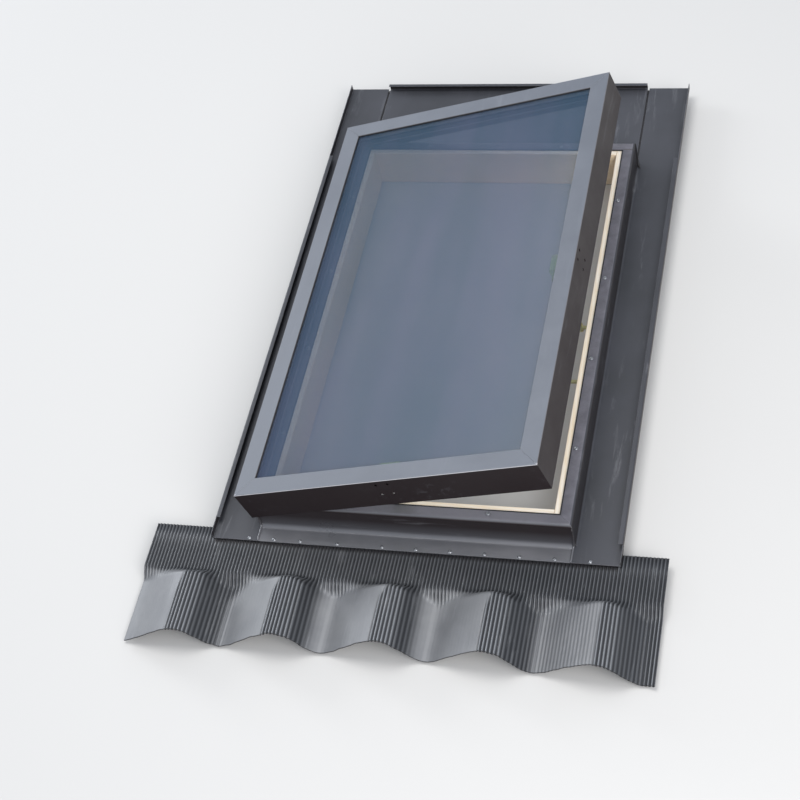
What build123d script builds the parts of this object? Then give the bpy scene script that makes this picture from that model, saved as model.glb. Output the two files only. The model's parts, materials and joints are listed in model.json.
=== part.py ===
from build123d import *
from math import cos, pi, radians, sin
import os

# Side-hung roof access skylight with its timber kerb and its metal flashing.
# X runs along the eaves, Y runs up the slope and Z stands square to the roof.
# The origin is the middle of the clear opening, on the underside of the kerb.

# Timber kerb
opening_width = 410.0
opening_length = 700.0
board = 25.0
board_height = 68.0
edge_ease = 1.5
outer_ease = 3.0

# Flashing sheet and its folds
sheet = 1.0
sheet_gap = 2.0
wood_strip = 10.0
flange_height = 22.0
lip_bend = 5.0
foot_bend = 4.0
front_foot_bend = 8.0
front_flange = 29.0
side_flange = 67.0
rear_flange = 182.0
hem_depth = 8.0
water_check = 11.0
check_return = 6.0
check_bend = 1.5
seam_gap = 0.5
mitre_gap = 0.15
tab_top = 17.0
tab_foot = 9.0

# Pleated apron, dressed into waves along its lower edge
pleat_pitch = 5.2
apron_left_reach = 94.0
apron_right_reach = 65.0
apron_offset = -4.0
pleat_height = 3.0
pressed_height = 2.3
apron_sheet = 1.2
apron_tuck = 20.0
press_margin = 2.0
apron_band = 56.0
apron_rise = 18.0
apron_drop = 99.0
wave_pitch = 150.0
wave_height = 46.0
wave_crest = -12.0
wave_skew = 0.29
wave_floor = 4.0
rise_share = 0.85
end_droop = 0.2

# Sash profile, measured with the sash closed
sash_clearance = 2.0
skirt = 1.5
skirt_reach = 25.0
shelf_clearance = 3.0
face_width = 28.0
face_sheet = 1.8
face_round = 1.2
web = 1.3
chamber = 5.5
key_length = 45.0
key_clearance = 0.2

# Sealed glass unit and its beads
pane = 4.0
cavity = 12.0
glass_edge_gap = 1.0
gasket = 1.5
gasket_show = 0.8
inner_gasket_height = 1.2
inner_gasket_width = 16.0
edge_seal_width = 3.0
spacer_width = 7.0
block_length = 30.0
bead_plate = 2.5
bead_hook = 1.3
bead_hook_reach = 2.8
bead_setback = 1.0

# Seals
frame_seal_width = 1.5
frame_seal_height = 1.5
sash_seal_width = 2.5
seal_lift = 0.3

# Hinges on the left-hand side
rest_opening = 14.75
hinge_end = 80.0
hinge_length = 62.0
hinge_plate = 2.0
knuckle_radius = 4.7
knuckle_clearance = 0.3
knuckle_length = 20.0
knuckle_gap = 0.3
pin_radius = 2.5
pin_head_radius = 3.5
pin_head = 1.5
running_gap = 0.05
hinge_height = 28.0
frame_leaf_rise = 14.0
sash_leaf_rise = 49.0
leaf_neck = 7.0
leaf_round = 6.0
hinge_screw_radius = 2.0
hinge_screw_head = 3.8
hinge_screw_length = 20.0
hinge_screw_rise = 9.5
hinge_screw_pitch = 20.0
hinge_rivet_rise = 39.0

# Opening stay on the right-hand side and its spare bracket at the front
bracket_reach = 53.5
bracket_cover = 39.0
bracket_width = 30.0
bracket_plate = 2.0
bracket_bend = 3.0
bracket_nose = 9.0
bracket_shoulder = 14.0
bracket_screw_radius = 1.5
bracket_screw_head = 2.9
bracket_screw_inset = 8.0
bracket_screw_pitch = 18.0
spare_place = -7.0
stay_place = 4.0
stay_drop = 31.0
stay_length = 108.0
stay_width = 14.0
stay_plate = 3.0
stay_tip = 10.0
stay_gap = 0.2
notch_offset = 2.0
notch_radius = 3.6
catch_radius = 3.0
vent_pin_length = 12.0
lock_pin_length = 29.0
catch_plate = 2.0
catch_plate_height = 18.0
catch_margin = 15.0
catch_screw_radius = 1.75
catch_screw_head = 3.2
catch_screw_length = 16.0
catch_screw_pitch = 60.0
pivot_radius = 3.0
pivot_head_radius = 5.5
pivot_head = 1.8
pivot_tail_radius = 4.2
pivot_tail = 1.2
washer_radius = 7.0
washer = 1.3
hole_radius = 2.25
hole_spacing = 18.0
hole_rise = 22.0
hole_centre_drop = 21.0

# Fasteners
lip_screw_radius = 1.75
lip_screw_head = 3.3
lip_screw_head_height = 2.0
lip_screw_ease = 1.1
lip_screw_length = 20.0
lip_screw_inset = 5.5
lip_screw_end = 133.0
lip_screw_near = 80.0
lip_screw_corner = 120.0
rivet_radius = 1.6
rivet_head = 3.0
rivet_head_height = 1.2
rivet_tail = 2.6
rivet_edge = 4.0
rivet_pitch = 50.0
rivet_start = 22.5
rivets_left = (24.0, 64.0, 120.0, 187.5)
outer_rivet_left = 14.0
outer_rivet_right = 27.5
corner_screw_radius = 2.5
corner_screw_head = 4.7
corner_screw_bore = 5.0
corner_screw_sink = 4.0
corner_screw_length = 60.0
corner_screw_low = 20.0
corner_screw_high = 48.0
fixing_end = 195.0
fixing_width = 40.0
fixing_reach = 45.0
fixing_plate = 2.0
fixing_bend = 3.0
fixing_height = 20.0
fixing_hole = 4.25
fixing_hole_out = 28.0
fixing_screw_radius = 2.0
fixing_screw_length = 18.0
fixing_screw_pitch = 24.0
fixing_screw_height = 12.0
fixing_screw_head = 3.6
fixing_screw_head_height = 1.2

# Places that follow from the sizes above
half_width = opening_width / 2
half_length = opening_length / 2
kerb_half_width = half_width + board
kerb_half_length = half_length + board
wall_x = kerb_half_width + sheet_gap + sheet
wall_y = kerb_half_length + sheet_gap + sheet
lip_x = half_width + wood_strip
lip_y = half_length + wood_strip
lip_top = board_height + sheet
front_edge = wall_y + front_flange
side_edge = wall_x + side_flange
rear_edge = wall_y + rear_flange
seam_x = kerb_half_width
hem_bottom = flange_height - 2 * sheet
rivet_y = -(front_edge - rivet_edge)
rivets_right = int(seam_x / rivet_pitch) + 1
rivet_places = [seam_x - rivet_start - rivet_pitch * step for step in range(rivets_right)]
rivet_places += [place - seam_x for place in rivets_left]
rivet_places += [seam_x + outer_rivet_right, -(seam_x + outer_rivet_left)]
punch_depth = 4 * sheet
pressed_bottom = hem_bottom - pressed_height - apron_sheet
pleats_left = round((side_edge + apron_left_reach + apron_offset) / pleat_pitch)
pleats_right = round((side_edge + apron_right_reach - apron_offset) / pleat_pitch)
fixing_place = kerb_half_length - fixing_end
lip_screw_x = lip_x + lip_screw_inset
lip_screw_y = lip_y + lip_screw_inset
lip_screw_column = wall_x - lip_screw_corner
lip_screw_columns = (-lip_screw_column, lip_screw_column)
lip_screw_far = wall_y - lip_screw_end
lip_screw_rows = (-lip_screw_far, -lip_screw_near, lip_screw_near, lip_screw_far)

sash_half_width = wall_x + sash_clearance + skirt
sash_half_length = wall_y + sash_clearance + skirt
shelf_bottom = lip_top + shelf_clearance
skirt_bottom = board_height - skirt_reach
shelf_height = shelf_bottom - skirt_bottom
web_face = skirt + chamber + web
glass_inset = web_face + glass_edge_gap
glass_half_width = sash_half_width - glass_inset
glass_half_length = sash_half_length - glass_inset
bead_top = shelf_bottom + bead_plate
inner_pane_bottom = bead_top + inner_gasket_height
inner_pane_top = inner_pane_bottom + pane
cavity_top = inner_pane_top + cavity
outer_pane_top = cavity_top + pane
gasket_top = outer_pane_top + gasket
sash_top = gasket_top + face_sheet
sash_depth = sash_top - skirt_bottom
bead_end = face_width - bead_setback
seal_inset = web_face + bead_hook

hinge_x = -(wall_x + knuckle_clearance + knuckle_radius)
hinge_place = wall_y - hinge_end
hinge_rows = (-hinge_place, hinge_place)
screw_steps = (-hinge_screw_pitch, 0.0, hinge_screw_pitch)
hinge_screw_z = hinge_height + hinge_screw_rise
rivet_z = hinge_height + hinge_rivet_rise

bracket_x = sash_half_width - bracket_reach
bracket_centre = stay_place + bracket_width / 2 - bracket_nose
stay_z = shelf_bottom - stay_drop
stay_face = bracket_x - washer - stay_gap
stay_middle = stay_face - stay_plate / 2
swing = radians(rest_opening)
lock_y = stay_place - stay_length
lock_z = stay_z + notch_offset
vent_y = stay_place - notch_offset
notch_reach = stay_middle - hinge_x
notch_fall = stay_z - stay_length - hinge_height
vent_z = hinge_height + notch_reach * sin(swing) + notch_fall * cos(swing)
catch_middle = (lock_y + vent_y) / 2
catch_length = vent_y - lock_y + 2 * catch_margin
catch_z = (lock_z + vent_z) / 2
catch_rows = (catch_middle - catch_screw_pitch / 2, catch_middle + catch_screw_pitch / 2)

low_corner = (Align.MIN, Align.MIN)
on_end = (Align.CENTER, Align.CENTER, Align.MIN)
hanging = (Align.CENTER, Align.CENTER, Align.MAX)

sash_turn = (
    Location((hinge_x, 0, hinge_height))
    * Location((0, 0, 0), (0, -rest_opening, 0))
    * Location((-hinge_x, 0, -hinge_height))
)

os.makedirs("parts", exist_ok=True)


def save(builder, label):
    builder.part.label = label
    export_step(builder.part, f"parts/{label}.step")


def save_on_sash(builder, label):
    # Sash pieces are drawn closed and stored at the opening angle of rest
    turned = builder.part.moved(sash_turn)
    turned.label = label
    export_step(turned, f"parts/{label}.step")


def facing(x, side):
    # A plane square to X that looks to one side; its own axes run along Y and up Z
    return Plane(origin=(x, 0, 0), x_dir=(0, side, 0), z_dir=(side, 0, 0))


def square_ring(half_x, half_y, width, bottom, height):
    with BuildPart() as ring:
        with BuildSketch(Plane.XY.offset(bottom)):
            Rectangle(2 * half_x, 2 * half_y)
            Rectangle(2 * (half_x - width), 2 * (half_y - width), mode=Mode.SUBTRACT)
        extrude(amount=height)
    return ring


# Kerb boards along the slope, with pilot holes for everything that is screwed on
for name, side in (("frame_left", -1), ("frame_right", 1)):
    with BuildPart() as long_board:
        with BuildSketch():
            with Locations((side * (half_width + board / 2), 0)):
                Rectangle(board, 2 * kerb_half_length)
        extrude(amount=board_height)
        top_edges = long_board.faces().sort_by(Axis.Z)[-1].edges()
        fillet(top_edges.sort_by_distance((0, 0, board_height))[0], radius=edge_ease)
        top_edges = long_board.faces().sort_by(Axis.Z)[-1].edges()
        fillet(top_edges.sort_by_distance((0, 0, board_height))[1:], radius=outer_ease)
        with Locations(*[(side * lip_screw_x, y, board_height) for y in lip_screw_rows]):
            Hole(lip_screw_radius, depth=lip_screw_length - sheet)
        with Locations(facing(side * kerb_half_width, side)):
            with Locations((0, (corner_screw_low + corner_screw_high) / 2)):
                with GridLocations(2 * half_length + board, corner_screw_high - corner_screw_low, 2, 2):
                    CounterBoreHole(corner_screw_radius, corner_screw_bore, corner_screw_sink, board)
            with Locations((-fixing_place, fixing_screw_height), (fixing_place, fixing_screw_height)):
                with GridLocations(fixing_screw_pitch, 1, 2, 1):
                    Hole(fixing_screw_radius, depth=fixing_screw_length - fixing_plate)
            if side < 0:
                with Locations(*[(y + step, hinge_screw_z) for y in hinge_rows for step in screw_steps]):
                    Hole(hinge_screw_radius, depth=hinge_screw_length - hinge_plate - sheet - sheet_gap)
        if side > 0:
            with Locations(facing(half_width, -1)):
                with Locations(*[(-y, catch_z) for y in catch_rows]):
                    Hole(catch_screw_radius, depth=catch_screw_length - catch_plate)
    save(long_board, name)

# Kerb boards across the opening, between the long ones
for name, side in (("frame_sill", -1), ("frame_head", 1)):
    with BuildPart() as cross_board:
        with BuildSketch():
            with Locations((0, side * (half_length + board / 2))):
                Rectangle(opening_width, board)
        extrude(amount=board_height)
        top_edges = cross_board.edges().filter_by(Axis.X).group_by(Axis.Z)[-1]
        top_edges = top_edges.sort_by_distance((0, 0, board_height))
        fillet(top_edges[0], radius=edge_ease)
        fillet(top_edges[-1], radius=outer_ease)
        with Locations(*[(x, side * lip_screw_y, board_height) for x in lip_screw_columns]):
            Hole(lip_screw_radius, depth=lip_screw_length - sheet)
        for end in (-1, 1):
            with Locations(facing(end * half_width, end)):
                with Locations(
                    (end * side * (half_length + board / 2), corner_screw_low),
                    (end * side * (half_length + board / 2), corner_screw_high),
                ):
                    Hole(corner_screw_radius, depth=corner_screw_length - board + corner_screw_sink)
    save(cross_board, name)

# Long screws that hold the kerb's corners
with BuildPart() as frame_screws:
    for side in (-1, 1):
        with Locations(facing(side * (kerb_half_width - corner_screw_sink), side)):
            with Locations((0, (corner_screw_low + corner_screw_high) / 2)):
                with GridLocations(2 * half_length + board, corner_screw_high - corner_screw_low, 2, 2):
                    Cylinder(corner_screw_radius, corner_screw_length, align=hanging)
                    Cylinder(corner_screw_head, corner_screw_sink - 1, align=on_end)
save(frame_screws, "frame_screws")

# Rubber lip seated on the timber, against the edge of the sheet
frame_seal = square_ring(lip_x, lip_y, frame_seal_width, board_height, frame_seal_height)
save(frame_seal, "frame_seal")

# Side flashing: lip, wall, flange and water check in one folded sheet
with BuildPart() as side_sheet:
    with BuildSketch(Plane.XZ):
        with BuildLine():
            FilletPolyline(
                (lip_x, lip_top),
                (wall_x, lip_top),
                (wall_x, flange_height),
                (side_edge, flange_height),
                (side_edge, flange_height + water_check),
                (side_edge - check_return, flange_height + water_check),
                radius=[lip_bend, foot_bend, check_bend, check_bend],
            )
            offset(amount=sheet, side=Side.LEFT)
        make_face()
    extrude(amount=wall_y, both=True)
    # Mitre at the front corner, and the slanted edge beside the rear corner's tab
    with BuildSketch(Plane.XY):
        Polygon(
            (wall_x, -wall_y),
            (lip_x - sheet, -wall_y),
            (lip_x - sheet, mitre_gap - wall_y + wall_x - lip_x + sheet),
            (wall_x, mitre_gap - wall_y),
            align=None,
        )
    extrude(amount=lip_top, mode=Mode.SUBTRACT)
    with BuildSketch(Plane.YZ):
        Polygon(
            (wall_y - tab_top, lip_top),
            (wall_y, lip_top),
            (wall_y, 0),
            (wall_y - tab_foot, 0),
            (wall_y - tab_foot, flange_height),
            align=None,
        )
    extrude(amount=wall_x, mode=Mode.SUBTRACT)
    # Flange beyond the front and rear corners, hemmed along the front
    with BuildSketch(Plane.XZ.offset(wall_y)):
        with Locations((seam_x + seam_gap / 2, flange_height - sheet)):
            Rectangle(side_edge - seam_x - seam_gap / 2, sheet, align=low_corner)
        with Locations((side_edge, flange_height - sheet)):
            Rectangle(sheet, water_check, align=low_corner)
    extrude(amount=front_flange)
    with BuildSketch(Plane.XZ.offset(-wall_y)):
        with Locations((wall_x, flange_height - sheet)):
            Rectangle(side_edge - wall_x, sheet, align=low_corner)
        with Locations((side_edge, flange_height - sheet)):
            Rectangle(sheet, water_check, align=low_corner)
    extrude(amount=-rear_flange)
    with BuildSketch(Plane.XY.offset(hem_bottom)):
        with Locations((seam_x + seam_gap / 2, -front_edge)):
            Rectangle(side_edge - seam_x - seam_gap / 2, hem_depth, align=low_corner)
    extrude(amount=sheet)

for name, side in (("flashing_left", -1), ("flashing_right", 1)):
    with BuildPart() as flashing_side:
        if side > 0:
            add(side_sheet.part)
        else:
            mirror(side_sheet.part, about=Plane.YZ)
        with Locations(*[(side * lip_screw_x, y, lip_top) for y in lip_screw_rows]):
            Hole(lip_screw_radius, depth=punch_depth)
        outer_rivets = [x for x in rivet_places if x * side > seam_x]
        with Locations(*[(x, rivet_y, flange_height) for x in outer_rivets]):
            Hole(rivet_radius, depth=punch_depth)
        if side < 0:
            with Locations(facing(side * wall_x, side)):
                with Locations(*[(y + step, hinge_screw_z) for y in hinge_rows for step in screw_steps]):
                    Hole(hinge_screw_radius, depth=punch_depth)
    save(flashing_side, name)


# Front flashing: its wall runs into the flange in a wide bend, hemmed at the edge
with BuildPart() as flashing_front:
    with BuildSketch(Plane.YZ):
        with BuildLine():
            FilletPolyline(
                (-lip_y, lip_top),
                (-wall_y, lip_top),
                (-wall_y, flange_height),
                (-front_edge, flange_height),
                radius=[lip_bend, front_foot_bend],
            )
            offset(amount=sheet, side=Side.LEFT)
        make_face()
    extrude(amount=wall_x, both=True)
    for side in (-1, 1):
        with BuildSketch(Plane.XY):
            Polygon(
                (side * (wall_x + sheet), -wall_y),
                (side * (wall_x - mitre_gap), -wall_y),
                (side * (lip_x - sheet - mitre_gap), wall_x - lip_x + sheet - wall_y),
                (side * (wall_x + sheet), wall_x - lip_x + sheet - wall_y),
                align=None,
            )
            Polygon(
                (side * (wall_x + sheet), -wall_y),
                (side * (seam_x - seam_gap / 2), -wall_y),
                (side * (seam_x - seam_gap / 2), -front_edge - sheet),
                (side * (wall_x + sheet), -front_edge - sheet),
                align=None,
            )
        extrude(amount=lip_top, mode=Mode.SUBTRACT)
    with BuildSketch(Plane.XY.offset(hem_bottom)):
        with Locations((0, -front_edge)):
            Rectangle(2 * seam_x - seam_gap, hem_depth, align=(Align.CENTER, Align.MIN))
    extrude(amount=sheet)
    with Locations(*[(x, -lip_screw_y, lip_top) for x in lip_screw_columns]):
        Hole(lip_screw_radius, depth=punch_depth)
    with Locations(*[(x, rivet_y, flange_height) for x in rivet_places if abs(x) < seam_x]):
        Hole(rivet_radius, depth=punch_depth)
save(flashing_front, "flashing_front")

# Tab of the rear flashing that is folded round each upper corner of the kerb
with BuildPart() as corner_tab:
    with BuildSketch(Plane.XZ):
        with BuildLine():
            FilletPolyline(
                (lip_x, lip_top),
                (wall_x, lip_top),
                (wall_x, flange_height + foot_bend),
                radius=lip_bend,
            )
            offset(amount=sheet, side=Side.RIGHT)
        make_face()
    extrude(amount=-wall_y)
    with BuildSketch(Plane.YZ):
        Polygon(
            (0, 0),
            (0, lip_top),
            (wall_y - tab_top + 2 * seam_gap, lip_top),
            (wall_y - tab_foot + 2 * seam_gap, flange_height),
            (wall_y - tab_foot + 2 * seam_gap, 0),
            align=None,
        )
    extrude(amount=wall_x, mode=Mode.SUBTRACT)
    with BuildSketch(Plane.XY):
        Polygon(
            (wall_x, wall_y),
            (lip_x - sheet, wall_y),
            (lip_x - sheet, wall_y - wall_x + lip_x - sheet),
            align=None,
        )
    extrude(amount=lip_top, mode=Mode.SUBTRACT)

# Rear flashing: lip, wall and the long flange that runs up under the covering
with BuildPart() as flashing_top:
    with BuildSketch(Plane.YZ):
        with BuildLine():
            FilletPolyline(
                (lip_y, lip_top),
                (wall_y, lip_top),
                (wall_y, flange_height),
                (rear_edge, flange_height),
                (rear_edge, flange_height + water_check),
                (rear_edge - check_return, flange_height + water_check),
                radius=[lip_bend, foot_bend, check_bend, check_bend],
            )
            offset(amount=sheet, side=Side.RIGHT)
        make_face()
    extrude(amount=wall_x, both=True)
    for side in (-1, 1):
        with BuildSketch(Plane.XY):
            Polygon(
                (side * (wall_x + sheet), wall_y),
                (side * wall_x, wall_y),
                (side * (lip_x - sheet), wall_y - wall_x + lip_x - sheet),
                (side * (wall_x + sheet), wall_y - wall_x + lip_x - sheet),
                align=None,
            )
            Polygon(
                (side * (wall_x + sheet), wall_y),
                (side * (seam_x - seam_gap / 2), wall_y),
                (side * (seam_x - seam_gap / 2), rear_edge + 2 * sheet),
                (side * (wall_x + sheet), rear_edge + 2 * sheet),
                align=None,
            )
        extrude(amount=lip_top, mode=Mode.SUBTRACT)
    add(corner_tab.part)
    mirror(corner_tab.part, about=Plane.YZ)
    with Locations(*[(x, lip_screw_y, lip_top) for x in lip_screw_columns]):
        Hole(lip_screw_radius, depth=punch_depth)
save(flashing_top, "flashing_top")

# Pan-head screws through the lip
screw_places = [(side * lip_screw_x, y) for side in (-1, 1) for y in lip_screw_rows]
screw_places += [(x, side * lip_screw_y) for x in lip_screw_columns for side in (-1, 1)]
with BuildPart() as lip_screws:
    with BuildSketch(Plane.XY.offset(lip_top)):
        with Locations(*screw_places):
            Circle(lip_screw_head)
    extrude(amount=lip_screw_head_height)
    chamfer(lip_screws.faces().filter_by(Axis.Z).group_by(Axis.Z)[-1].edges(), length=lip_screw_ease)
    with BuildSketch(Plane.XY.offset(lip_top)):
        with Locations(*screw_places):
            Circle(lip_screw_radius)
    extrude(amount=-lip_screw_length)
save(lip_screws, "lip_screws")


def wave_phase(x):
    # The fall of each wave is shorter than its rise
    turn = 2 * pi * (x - wave_crest) / wave_pitch
    return turn + wave_skew * (1 - cos(turn))


def pressed_middle(x):
    return hem_bottom - (pressed_height + apron_sheet) / 2


def band_middle(x):
    return hem_bottom - (pleat_height + apron_sheet) / 2


def wave_middle(x):
    droop = 1 - end_droop * (x / (pleat_pitch * pleats_left)) ** 2
    return wave_floor + wave_height * droop * (1 + cos(wave_phase(x))) / 2


def wave_pleat(x):
    # The rising slope of each wave is pressed nearly smooth
    return pleat_height * (1 - rise_share * max(0.0, -sin(wave_phase(x))))


def pleated_face(y, middle, height):
    # One cross-section of the pleated sheet, as a zigzag with two edges for each pleat
    upper = []
    for step in range(-2 * pleats_left, 2 * pleats_right + 1):
        x = apron_offset + step * pleat_pitch / 2
        fold = height(x) / 2 if step % 2 == 0 else -height(x) / 2
        upper.append((x, middle(x) + fold + apron_sheet / 2))
    lower = [(x, z - apron_sheet) for x, z in reversed(upper)]
    with BuildSketch(Plane.XZ.offset(-y)) as outline:
        with BuildLine():
            Polyline(*upper, *lower, close=True)
        make_face()
    return outline.sketch


# Apron: pleats pressed under the flange, a flat pleated band, then waves
crease_y = -(front_edge + apron_band)
pressed_rows = (-(front_edge - apron_tuck), -(front_edge - press_margin))
waved_rows = (crease_y - apron_rise, crease_y - apron_rise - apron_drop)
with BuildPart() as apron:
    sections = [pleated_face(y, pressed_middle, lambda x: pressed_height) for y in pressed_rows]
    sections.append(pleated_face(crease_y, band_middle, lambda x: pleat_height))
    sections += [pleated_face(y, wave_middle, wave_pleat) for y in waved_rows]
    loft(sections, ruled=True)
    with Locations(*[(x, rivet_y, hem_bottom) for x in rivet_places]):
        Hole(rivet_radius, depth=punch_depth)
save(apron, "apron")

# Rivets through the hem and the pressed edge of the apron
with BuildPart() as apron_rivets:
    with Locations(*[(x, rivet_y, flange_height) for x in rivet_places]):
        Cylinder(rivet_radius, flange_height - pressed_bottom, align=hanging)
    with BuildSketch(Plane.XY.offset(flange_height)):
        with Locations(*[(x, rivet_y) for x in rivet_places]):
            Circle(rivet_head)
    extrude(amount=rivet_head_height, taper=30)
    with Locations(*[(x, rivet_y, pressed_bottom) for x in rivet_places]):
        Cylinder(rivet_tail, rivet_head_height, align=hanging)
save(apron_rivets, "apron_rivets")

# Angle brackets under the flashing, which hold the kerb down on the roof
corners = (
    ("front_left", -1, -1),
    ("front_right", 1, -1),
    ("rear_left", -1, 1),
    ("rear_right", 1, 1),
)
for place, side, end in corners:
    with BuildPart() as fixing_bracket:
        with BuildSketch(Plane.XZ.offset(-end * fixing_place)):
            with BuildLine():
                FilletPolyline(
                    (side * kerb_half_width, fixing_height),
                    (side * kerb_half_width, 0),
                    (side * (kerb_half_width + fixing_reach), 0),
                    radius=fixing_bend + fixing_plate,
                )
                offset(amount=fixing_plate, side=Side.LEFT if side > 0 else Side.RIGHT)
            make_face()
        extrude(amount=fixing_width / 2, both=True)
        outer_corners = fixing_bracket.edges().filter_by(Axis.Z).group_by(Axis.X)[-1 if side > 0 else 0]
        fillet(outer_corners, radius=fixing_bend)
        with Locations((side * (kerb_half_width + fixing_hole_out), end * fixing_place, fixing_plate)):
            Hole(fixing_hole)
        with Locations(facing(side * (kerb_half_width + fixing_plate), side)):
            with Locations((side * end * fixing_place, fixing_screw_height)):
                with GridLocations(fixing_screw_pitch, 1, 2, 1):
                    Hole(fixing_screw_radius, depth=2 * fixing_plate)
    save(fixing_bracket, f"fixing_bracket_{place}")

with BuildPart() as fixing_screws:
    for side in (-1, 1):
        with Locations(facing(side * (kerb_half_width + fixing_plate), side)):
            with Locations((-fixing_place, fixing_screw_height), (fixing_place, fixing_screw_height)):
                with GridLocations(fixing_screw_pitch, 1, 2, 1):
                    Cylinder(fixing_screw_radius, fixing_screw_length, align=hanging)
                    Cylinder(fixing_screw_head, fixing_screw_head_height, align=on_end)
save(fixing_screws, "fixing_screws")

# Each side of the sash is drawn on a plane that runs inwards from its outer face
sash_sides = {
    "front": (Plane((0, -sash_half_length, skirt_bottom), (0, 1, 0), (1, 0, 0)), sash_half_width),
    "rear": (Plane((0, sash_half_length, skirt_bottom), (0, -1, 0), (-1, 0, 0)), sash_half_width),
    "left": (Plane((-sash_half_width, 0, skirt_bottom), (1, 0, 0), (0, -1, 0)), sash_half_length),
    "right": (Plane((sash_half_width, 0, skirt_bottom), (-1, 0, 0), (0, 1, 0)), sash_half_length),
}


def mitre_plan(plane, half, reach):
    # The plan of a straight member between its two mitres
    with BuildSketch(Plane(origin=plane.origin, x_dir=plane.x_dir, z_dir=(0, 0, 1))) as plan:
        Polygon(
            (0, half - mitre_gap),
            (reach, half - reach - mitre_gap),
            (reach, reach + mitre_gap - half),
            (0, mitre_gap - half),
            align=None,
        )
    return plan.sketch


def outward(plane, along, up):
    # A plane on the outer face of one side of the sash
    return Plane(
        origin=plane.origin + plane.z_dir * along + Vector(0, 0, up),
        x_dir=plane.z_dir,
        z_dir=-plane.x_dir,
    )


# Sash members: skirt, top face, glazing chamber and shelf in one extrusion
for name, (plane, half) in sash_sides.items():
    with BuildPart() as member:
        with BuildSketch(plane) as section:
            Rectangle(skirt, sash_depth, align=low_corner)
            with Locations((0, sash_depth - face_sheet)):
                Rectangle(face_width, face_sheet, align=low_corner)
            with Locations((skirt + chamber, shelf_height)):
                Rectangle(web, sash_depth - shelf_height, align=low_corner)
            with Locations((0, shelf_height)):
                Rectangle(web_face, web, align=low_corner)
            top_corners = section.vertices().group_by(Axis.Y)[-1].sort_by(Axis.X)
            fillet(top_corners[0], radius=face_round)
            fillet(top_corners[-1], radius=face_sheet / 3)
        extrude(amount=half, both=True)
        extrude(mitre_plan(plane, half, face_width), sash_depth, both=True, mode=Mode.INTERSECT)
        if name in ("front", "right"):
            with Locations(outward(plane, 0, sash_depth - hole_centre_drop)):
                with GridLocations(hole_spacing, hole_rise, 2, 2):
                    Hole(hole_radius, depth=2 * skirt)
        if name == "left":
            with Locations(outward(plane, 0, rivet_z - skirt_bottom)):
                with Locations(*[(y + step, 0) for y in hinge_rows for step in screw_steps]):
                    Hole(rivet_radius, depth=2 * skirt)
    save_on_sash(member, f"sash_{name}")

# Corner keys that join the members inside their chambers
key_outer = skirt + key_clearance
key_inner = skirt + chamber - key_clearance
with BuildPart() as sash_corner_keys:
    with BuildSketch(Plane.XY.offset(shelf_bottom + web + key_clearance)):
        Rectangle(2 * (sash_half_width - key_outer), 2 * (sash_half_length - key_outer))
        Rectangle(
            2 * (sash_half_width - key_inner),
            2 * (sash_half_length - key_inner),
            mode=Mode.SUBTRACT,
        )
        Rectangle(2 * (sash_half_width - key_length), 2 * sash_half_length, mode=Mode.SUBTRACT)
        Rectangle(2 * sash_half_width, 2 * (sash_half_length - key_length), mode=Mode.SUBTRACT)
    extrude(amount=gasket_top - shelf_bottom - web - 2 * key_clearance)
save_on_sash(sash_corner_keys, "sash_corner_keys")

# Sealed glass unit: two panes, spacer and edge seal
for name, bottom in (("outer_pane", cavity_top), ("inner_pane", inner_pane_bottom)):
    with BuildPart() as glass:
        with BuildSketch(Plane.XY.offset(bottom)):
            Rectangle(2 * glass_half_width, 2 * glass_half_length)
        extrude(amount=pane)
    save_on_sash(glass, name)

edge_seal = square_ring(glass_half_width, glass_half_length, edge_seal_width, inner_pane_top, cavity)
save_on_sash(edge_seal, "glass_edge_seal")

glass_spacer = square_ring(
    glass_half_width - edge_seal_width,
    glass_half_length - edge_seal_width,
    spacer_width,
    inner_pane_top,
    cavity,
)
save_on_sash(glass_spacer, "glass_spacer")

# Setting blocks that centre the unit in the sash, two on each side
with BuildPart() as setting_blocks:
    with BuildSketch(Plane.XY.offset(inner_pane_bottom)):
        for side in (-1, 1):
            with Locations((side * (glass_half_width + glass_edge_gap / 2), 0)):
                with GridLocations(1, glass_half_length, 1, 2):
                    Rectangle(glass_edge_gap, block_length)
            with Locations((0, side * (glass_half_length + glass_edge_gap / 2))):
                with GridLocations(glass_half_width, 1, 2, 1):
                    Rectangle(block_length, glass_edge_gap)
    extrude(amount=outer_pane_top - inner_pane_bottom)
save_on_sash(setting_blocks, "setting_blocks")

glazing_gasket = square_ring(
    glass_half_width,
    glass_half_length,
    face_width + gasket_show - glass_inset,
    outer_pane_top,
    gasket,
)
save_on_sash(glazing_gasket, "glazing_gasket")

inner_gasket = square_ring(
    glass_half_width,
    glass_half_length,
    inner_gasket_width,
    bead_top,
    inner_gasket_height,
)
save_on_sash(inner_gasket, "inner_gasket")

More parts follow.
